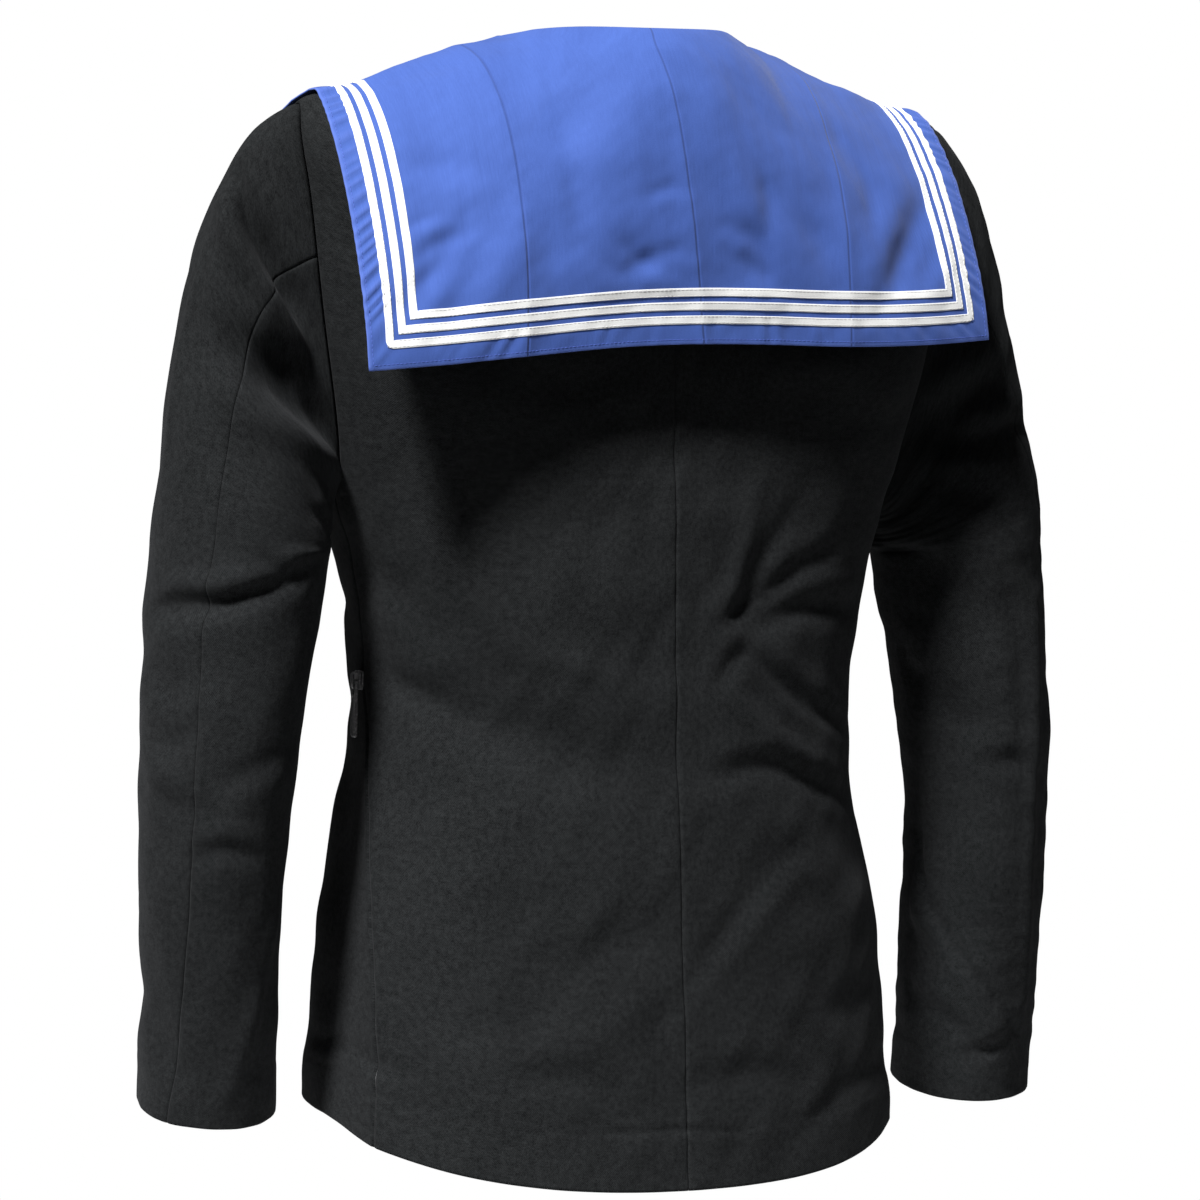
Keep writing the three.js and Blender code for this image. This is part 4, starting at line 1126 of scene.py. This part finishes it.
def stamped(name, outlines, low, high, bevel, axes, origin, material):
    """A flat metal shape with rounded edges, from outlines in mm, the later ones cut out of the first.

    It runs from low to high out of its plane.  axes says along which of x, y, z (0, 1, 2) the outline's
    two directions and its thickness lie, and origin, in metres, where its middle is.
    """
    curve = bpy.data.curves.new(name, "CURVE")
    curve.dimensions, curve.fill_mode = "2D", "BOTH"
    curve.extrude = ((high - low) / 2 - bevel) * MM
    curve.bevel_depth, curve.bevel_resolution, curve.offset = bevel * MM, 2, -bevel * MM
    for outline in outlines:
        spline = curve.splines.new("POLY")
        spline.points.add(len(outline) - 1)
        for point, (x, y) in zip(spline.points, outline):
            point.co = (x * MM, y * MM, 0, 1)
        spline.use_cyclic_u = True
    shape = bpy.data.objects.new(name, curve)
    bpy.context.scene.collection.objects.link(shape)
    graph = bpy.context.evaluated_depsgraph_get()
    mesh = bpy.data.meshes.new_from_object(shape.evaluated_get(graph))
    bpy.data.objects.remove(shape)
    made = bmesh.new()
    made.from_mesh(mesh)
    bmesh.ops.remove_doubles(made, verts=made.verts, dist=1e-6)
    place = Matrix.Identity(4)
    for k in range(3):
        for row in range(3):
            place[row][k] = 1.0 if axes[k] == row else 0.0
    lift = Vector((0, 0, 0))
    lift[axes[2]] = (low + high) / 2 * MM
    place = Matrix.Translation(Vector(origin) + lift) @ place
    bmesh.ops.transform(made, matrix=place, verts=made.verts)
    bmesh.ops.recalc_face_normals(made, faces=made.faces)
    made.to_mesh(mesh)
    made.free()
    mesh.materials.clear()
    return link(name, mesh, material)


# The bail's outline, its outer edge and then its inner one: up along the slider, and out from it.
BAIL = [(-5.2, 2.4), (-4.9, 5.2), (-3.6, 6.4), (3.6, 6.4), (4.9, 5.2), (5.2, 2.4)]
BAIL += [(3.9, 2.4), (3.8, 4.7), (3.1, 5.3), (-3.1, 5.3), (-3.8, 4.7), (-3.9, 2.4)]
UPRIGHT, EDGEWAYS = (1, 2, 0), (2, 0, 1)  # axes for stamped(): flat on the seam, and standing out on it


def make_slider(metal):
    """The zip's slider, two plates on a core with a bail over them, and its pull with raised rims."""
    (x0, y0, z0), (_, y1, z1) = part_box("zip_slider")
    base = (x0, (y0 + y1) / 2, (z0 + z1) / 2)
    wide, tall = (y1 - y0) / MM, (z1 - z0) / MM
    shield = [(x * (0.87 + 0.13 * y / (tall / 2)), y) for x, y in rounded(wide, tall, 1.6)]
    slider = [
        stamped("zip_slider_face", [shield], 1.7, 2.8, 0.4, UPRIGHT, base, metal),
        stamped("zip_slider_back", [shield], 0.0, 1.0, 0.3, UPRIGHT, base, metal),
        stamped("zip_slider_core", [rounded(2.6, 7.5, 1.0)], 0.6, 2.2, 0.1, UPRIGHT, base, metal),
        stamped("zip_slider_bail", [BAIL], -1.0, 1.0, 0.3, EDGEWAYS, base, metal),
    ]
    hang = tuple((low + high) / 2 for low, high in zip(*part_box("zip_pull")))
    wide, tall, rim = PULL["wide"], PULL["tall"], PULL["rim"]
    slot_at = tall / 2 - PULL["bar"] - PULL["slot_tall"] / 2
    slot = rounded(PULL["slot_wide"], PULL["slot_tall"], 1.2, (0, slot_at))
    recess_top = slot_at - PULL["slot_tall"] / 2 - rim
    recess_tall = recess_top + tall / 2 - rim
    recess = rounded(wide - 2 * rim, recess_tall, 1.4, (0, recess_top - recess_tall / 2))
    outer = rounded(wide, tall, 2.4)
    plate = rounded(wide - 0.4, tall - 0.4, 2.2)
    rims = [outer, slot[::-1], recess[::-1]]
    half, thin = PULL["thick"] / 2, PULL["plate"] / 2
    pull = [
        stamped("zip_pull_rim", rims, -half, half, 0.35, UPRIGHT, hang, metal),
        stamped("zip_pull_plate", [plate, slot[::-1]], -thin, thin, 0.1, UPRIGHT, hang, metal),
    ]
    return slider, pull


def seam_line(ups, inside, off=0.0):
    """Points inside the left side seam, off millimetres behind it, with the ways out and to the back."""
    around = side_seam(ups)
    bare, out = body_at(around, ups), body_normal(around, ups)
    back = unit(body_at(around + 1, ups) - bare)
    return bare + out * (body_push(around, ups) - inside)[:, None] + back * off, out, back


def make_zip(metal, tape_material):
    """The zip's teeth and tape, along the slit in the left side seam below the slider."""
    ups = np.arange(6, ZIP_UP - 4, TEETH["pitch"] / 2)
    middle, out, back = seam_line(ups, TEETH["inside"])
    middle = middle + back * (TEETH["aside"] * np.where(np.arange(len(ups)) % 2, 1, -1))[:, None]
    ahead = unit(np.gradient(middle, axis=0))
    corners = []
    for z in (-1, 1):
        for x, y in ((-1, -1), (1, -1), (1, 1), (-1, 1)):
            sideways = x * back * TEETH["wide"] / 2
            onwards = y * ahead * TEETH["tall"] / 2
            corners.append(middle + (sideways + onwards + z * out * TEETH["deep"] / 2))
    vertices = np.stack(corners, 1).reshape(-1, 3)
    sides = [[0, 3, 2, 1], [4, 5, 6, 7], [0, 1, 5, 4], [1, 2, 6, 5], [2, 3, 7, 6], [3, 0, 4, 7]]
    teeth = repeated("zip_teeth", vertices, [sides], 8, len(ups), metal)
    polygons = teeth.data.polygons
    polygons.foreach_set("use_smooth", np.zeros(len(polygons), bool))
    ups = np.linspace(2, ZIP_UP + 12, 110)
    offs = np.linspace(-ZIP_TAPE["wide"], ZIP_TAPE["wide"], 13)
    lines = [seam_line(ups, ZIP_TAPE["inside"], off) for off in offs]
    points, normals = (np.stack([line[k] for line in lines], 1) for k in (0, 1))
    return teeth, wall("zip_tape", tape_material, patch(points, normals, ZIP_TAPE["thick"]))


# ---------- materials
class Nodes:
    """A material's nodes, made one by one."""

    def __init__(self, name):
        self.material = bpy.data.materials.new(name)
        self.material.use_nodes = True
        self.tree = self.material.node_tree
        self.shader = self.tree.nodes["Principled BSDF"]

    def add(self, kind, inputs=None, **settings):
        node = self.tree.nodes.new("ShaderNode" + kind)
        for key, value in settings.items():
            setattr(node, key, value)
        for key, value in (inputs or {}).items():
            self.put(value, node.inputs[key])
        return node

    def put(self, value, socket):
        """Links a socket to another's output, or sets it to a number or a colour."""
        if isinstance(value, bpy.types.NodeSocket):
            self.tree.links.new(value, socket)
        else:
            socket.default_value = value

    def math(self, operation, a, b=0.0):
        return self.add("Math", {0: a, 1: b}, operation=operation).outputs[0]

    def plus(self, a, b):
        return self.math("ADD", a, b)

    def times(self, a, b):
        return self.math("MULTIPLY", a, b)

    def apart(self, vector):
        """The three numbers of a vector."""
        return self.add("SeparateXYZ", {0: vector}).outputs

    def cloth_uv(self):
        """Places on the cloth, in metres across and along it."""
        return self.add("UVMap", uv_map="cloth").outputs[0]

    def noise(self, where, scale, detail=2.0, rough=0.5):
        inputs = {"Vector": where, "Scale": scale, "Detail": detail, "Roughness": rough}
        return self.add("TexNoise", inputs).outputs["Fac"]

    def ramp(self, value, low, high, start, end):
        """A number from low to high as value goes from start to end."""
        return self.add("MapRange", {0: value, 1: start, 2: end, 3: low, 4: high}).outputs[0]

    def blend(self, how_much, a, b):
        """A colour from a to b as how_much goes from 0 to 1."""
        inputs = {0: how_much, 6: a, 7: b}
        return self.add("Mix", inputs, data_type="RGBA", blend_type="MIX").outputs[2]

    def to_shader(self, **inputs):
        for key, value in inputs.items():
            self.put(value, self.shader.inputs[key.replace("_", " ")])

    def bump(self, height, strength, distance, below=None):
        inputs = {"Height": height, "Strength": strength, "Distance": distance}
        if below is not None:
            inputs["Normal"] = below
        return self.add("Bump", inputs).outputs[0]


def twill(nodes, uv, lines, slope=1.0):
    """The diagonal ribs of a twill, so many to a metre, a little uneven."""
    across, along, _ = nodes.apart(uv)
    wobble = nodes.times(nodes.noise(uv, 160, 1.0), 0.5 / lines)
    run = nodes.plus(nodes.plus(across, nodes.times(along, slope)), wobble)
    return nodes.math("SINE", nodes.times(run, 2 * math.pi * lines))


def serge_material():
    """Brushed black wool serge: twill ribs half hidden by nap, with paler fibres."""
    n = Nodes("serge")
    uv = n.cloth_uv()
    ribs = twill(n, uv, 800)
    grain = n.noise(uv, 1100, 3.0, 0.65)
    nap = n.noise(uv, 260, 4.0, 0.6)
    cloud = n.noise(uv, 22, 3.0)
    tone = n.plus(n.times(ribs, 0.12), n.times(grain, 1.2))
    tone = n.plus(tone, n.plus(n.times(nap, 0.9), n.times(cloud, 0.25)))
    share = n.ramp(tone, 0.0, 1.0, 0.80, 1.55)
    colour = n.blend(share, (0.0034, 0.0037, 0.0040, 1), (0.0250, 0.0268, 0.0278, 1))
    fluff = n.ramp(n.noise(uv, 1700, 1.0), 0.0, 1.0, 0.72, 0.80)
    colour = n.blend(n.times(fluff, 0.35), colour, (0.09, 0.09, 0.095, 1))
    height = n.plus(n.times(ribs, 0.22), n.plus(grain, nap))
    n.to_shader(
        Base_Color=colour,
        Roughness=0.92,
        Specular_IOR_Level=0.06,
        Sheen_Weight=0.03,
        Sheen_Roughness=0.45,
        Sheen_Tint=(0.75, 0.76, 0.8, 1),
        Normal=n.bump(height, 0.55, 0.00035),
    )
    return n.material


def jean_material():
    """Blue cotton drill, a little paler at its edges where it is worn, with a painted highlight on the
    crests of its puckers and a thin painted shade line along each pressed crease.
    """
    n = Nodes("blue_jean")
    uv = n.cloth_uv()
    ribs = twill(n, uv, 1100, -1.0)
    grain = n.noise(uv, 1300, 2.0, 0.6)
    slub_uv = n.add("Mapping", {0: uv, 3: (1.0, 0.12, 1.0)}).outputs[0]
    slub = n.noise(slub_uv, 700, 2.0)
    cloud = n.noise(uv, 26, 4.0, 0.55)
    share = n.plus(n.times(cloud, 0.6), n.times(grain, 0.4))
    share = n.ramp(n.plus(share, n.times(slub, 0.25)), 0, 1, 0.35, 0.95)
    colour = n.blend(share, (0.036, 0.081, 0.31, 1), (0.060, 0.127, 0.45, 1))
    # paler blue at the worn edge, and a painted highlight on the crests of the margin's puckers
    wear_and_highlight = n.add("Attribute", attribute_name="wear_and_highlight").outputs["Fac"]
    wear_and_highlight = n.times(wear_and_highlight, n.ramp(grain, 0.35, 0.85, 0.3, 0.7))
    colour = n.blend(wear_and_highlight, colour, (0.13, 0.20, 0.62, 1))
    crease_offsets = n.apart(n.add("Attribute", attribute_name="crease_offsets").outputs["Vector"])
    dents, lines = [], []
    for off, strong in zip(crease_offsets, (1.0, 0.9, 0.7)):
        away = n.math("ABSOLUTE", off)
        dents.append(n.ramp(away, -strong, 0.0, 0.0, 1.1))
        # painted shade: a thin darker line along each pressed crease, where its valley lies in shade
        lines.append(n.ramp(away, 0.8 * strong, 0.0, 0.3, 1.3))
    crease, line = reduce(n.plus, dents), reduce(n.plus, lines)
    line = n.times(line, n.ramp(cloud, 0.35, 0.65, 0.5, 1.0))
    # painted shade line along the creases, in a darker blue
    colour = n.blend(line, colour, (0.016, 0.036, 0.17, 1))
    height = n.plus(n.times(ribs, 0.3), n.plus(grain, slub))
    pressed = n.bump(crease, 0.8, 0.0006)
    n.to_shader(
        Base_Color=colour,
        Roughness=0.82,
        Specular_IOR_Level=0.3,
        Sheen_Weight=0.12,
        Sheen_Roughness=0.5,
        Normal=n.bump(height, 0.4, 0.0002, pressed),
    )
    return n.material


def tape_material():
    """White woven tape, ribbed across."""
    n = Nodes("white_tape")
    uv = n.cloth_uv()
    ribs = n.math("SINE", n.times(n.apart(uv)[0], 2 * math.pi * 1400))
    grain = n.noise(uv, 1500, 2.0)
    share = n.ramp(grain, 0, 1, 0.3, 0.7)
    colour = n.blend(share, (0.80, 0.80, 0.79, 1), (0.90, 0.90, 0.89, 1))
    height = n.plus(n.times(ribs, 0.3), grain)
    n.to_shader(Base_Color=colour, Roughness=0.8, Normal=n.bump(height, 0.35, 0.00015))
    return n.material


def thread_material(name, colour):
    """Spun thread, its plies as a fine bump."""
    n = Nodes(name)
    where = n.add("TexCoord").outputs["Object"]
    grain = n.noise(where, 2600, 2.0)
    dark = tuple(0.8 * v for v in colour) + (1,)
    n.to_shader(
        Base_Color=n.blend(grain, dark, colour + (1,)),
        Roughness=0.75,
        Normal=n.bump(grain, 0.3, 0.0001),
    )
    return n.material


def metal_material():
    """Dark enamelled metal, rubbed brighter here and there."""
    n = Nodes("zip_metal")
    where = n.add("TexCoord").outputs["Object"]
    rub = n.ramp(n.noise(where, 420, 4.0, 0.7), 0, 1, 0.5, 0.75)
    n.to_shader(
        Base_Color=n.blend(rub, (0.15, 0.15, 0.155, 1), (0.50, 0.50, 0.51, 1)),
        Metallic=0.4,
        Roughness=n.ramp(rub, 0.30, 0.48, 0, 1),
        Normal=n.bump(n.noise(where, 900, 2.0), 0.12, 0.0001),
    )
    return n.material


# ---------- camera, light, floor
# The camera: degrees round from the front, how far away, its height, the height it looks at, and roll.
CAMERA = dict(turn=155.0, away=3500.0, height=-90.0, aim=-325.0, roll=1.0, lens=179.5)


def make_camera():
    """The camera behind the wearer's left shoulder, far off and a little above the waist it looks at."""
    turn = math.radians(CAMERA["turn"])
    place = Vector((math.sin(turn), -math.cos(turn), 0)) * CAMERA["away"] * MM
    place.z = CAMERA["height"] * MM
    look = Vector((0, 0, CAMERA["aim"] * MM)) - place
    data = bpy.data.cameras.new("camera")
    data.lens, data.sensor_width = CAMERA["lens"], 36.0
    camera = bpy.data.objects.new("camera", data)
    bpy.context.scene.collection.objects.link(camera)
    facing = look.to_track_quat("-Z", "Y").to_matrix().to_4x4()
    roll = Matrix.Rotation(math.radians(CAMERA["roll"]), 4, "Z")
    camera.matrix_world = Matrix.Translation(place) @ facing @ roll
    bpy.context.scene.camera = camera


# The lamp: how far to the left of the camera and how high it stands, and how soft it is, in degrees.
SUN = dict(turn=32, high=55, power=6.9, soft=10)
SKY, SKY_LIGHT = 1.0, 0.10  # how bright the background looks, and how much light it gives
FLOOR = dict(radius=0.9, below=0.6, corners=96)  # in metres; below: how far beneath the hem


def make_surroundings():
    """A pale round floor under a pale sky, and one soft lamp above, to the left of the camera."""
    low, radius = CAD_BOX[0][2] - FLOOR["below"], FLOOR["radius"]
    ring = [2 * math.pi * k / FLOOR["corners"] for k in range(FLOOR["corners"])]
    corners = [(radius * math.cos(v), radius * math.sin(v), low) for v in ring]
    mesh = bpy.data.meshes.new("floor")
    mesh.from_pydata(corners, [], [tuple(range(len(corners)))])
    n = Nodes("floor")
    n.to_shader(Base_Color=(0.86, 0.86, 0.86, 1), Roughness=0.9, Specular_IOR_Level=0.1)
    link("floor", mesh, n.material)

    world = bpy.data.worlds.new("sky")
    world.use_nodes = True
    tree = world.node_tree
    seen = tree.nodes["Background"]
    light = tree.nodes.new("ShaderNodeBackground")
    for node, strength in ((seen, SKY), (light, SKY_LIGHT)):
        node.inputs[0].default_value, node.inputs[1].default_value = (1, 1, 1, 1), strength
    either = tree.nodes.new("ShaderNodeMixShader")
    tree.links.new(tree.nodes.new("ShaderNodeLightPath").outputs["Is Camera Ray"], either.inputs[0])
    tree.links.new(light.outputs[0], either.inputs[1])
    tree.links.new(seen.outputs[0], either.inputs[2])
    tree.links.new(either.outputs[0], tree.nodes["World Output"].inputs[0])
    bpy.context.scene.world = world

    turn, high = math.radians(CAMERA["turn"] - SUN["turn"]), math.radians(SUN["high"])
    level = math.cos(high)
    towards = Vector((math.sin(turn) * level, -math.cos(turn) * level, math.sin(high)))
    data = bpy.data.lights.new("lamp", "SUN")
    data.energy, data.angle = SUN["power"], math.radians(SUN["soft"])
    lamp = bpy.data.objects.new("lamp", data)
    lamp.rotation_euler = towards.to_track_quat("Z", "Y").to_euler()
    bpy.context.scene.collection.objects.link(lamp)
    view = bpy.context.scene.view_settings
    view.view_transform, view.look = "Standard", "None"


def main():
    """Makes everything, and says of each piece what it rides on, replaces and is made of."""
    make_camera()
    make_surroundings()
    serge, jean, tape_cloth = serge_material(), jean_material(), tape_material()
    metal = metal_material()
    thread = {
        "white": thread_material("thread_white", (0.88, 0.88, 0.87)),
        "blue": thread_material("thread_blue", (0.09, 0.15, 0.56)),
    }
    cloth = make_body(serge) + make_sleeves(serge)
    for piece in cloth:
        node = piece.name.removeprefix("cloth_")
        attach(piece, "garment")
        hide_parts(node)
    collar = make_collar(jean, tape_cloth, thread)
    for piece in collar:
        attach(piece, "garment")
        kind = piece.name.removeprefix("cloth_")
        if piece.name.startswith("cloth_"):
            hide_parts(kind)
    slider, pull = make_slider(metal)
    teeth, tape = make_zip(metal, serge)
    for pieces, body in ((slider + [teeth], "garment"), (pull, "zip_pull")):
        for piece in pieces:
            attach(piece, body)
    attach(tape, "garment")
    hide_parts("zip_slider")
    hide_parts("zip_pull")


main()
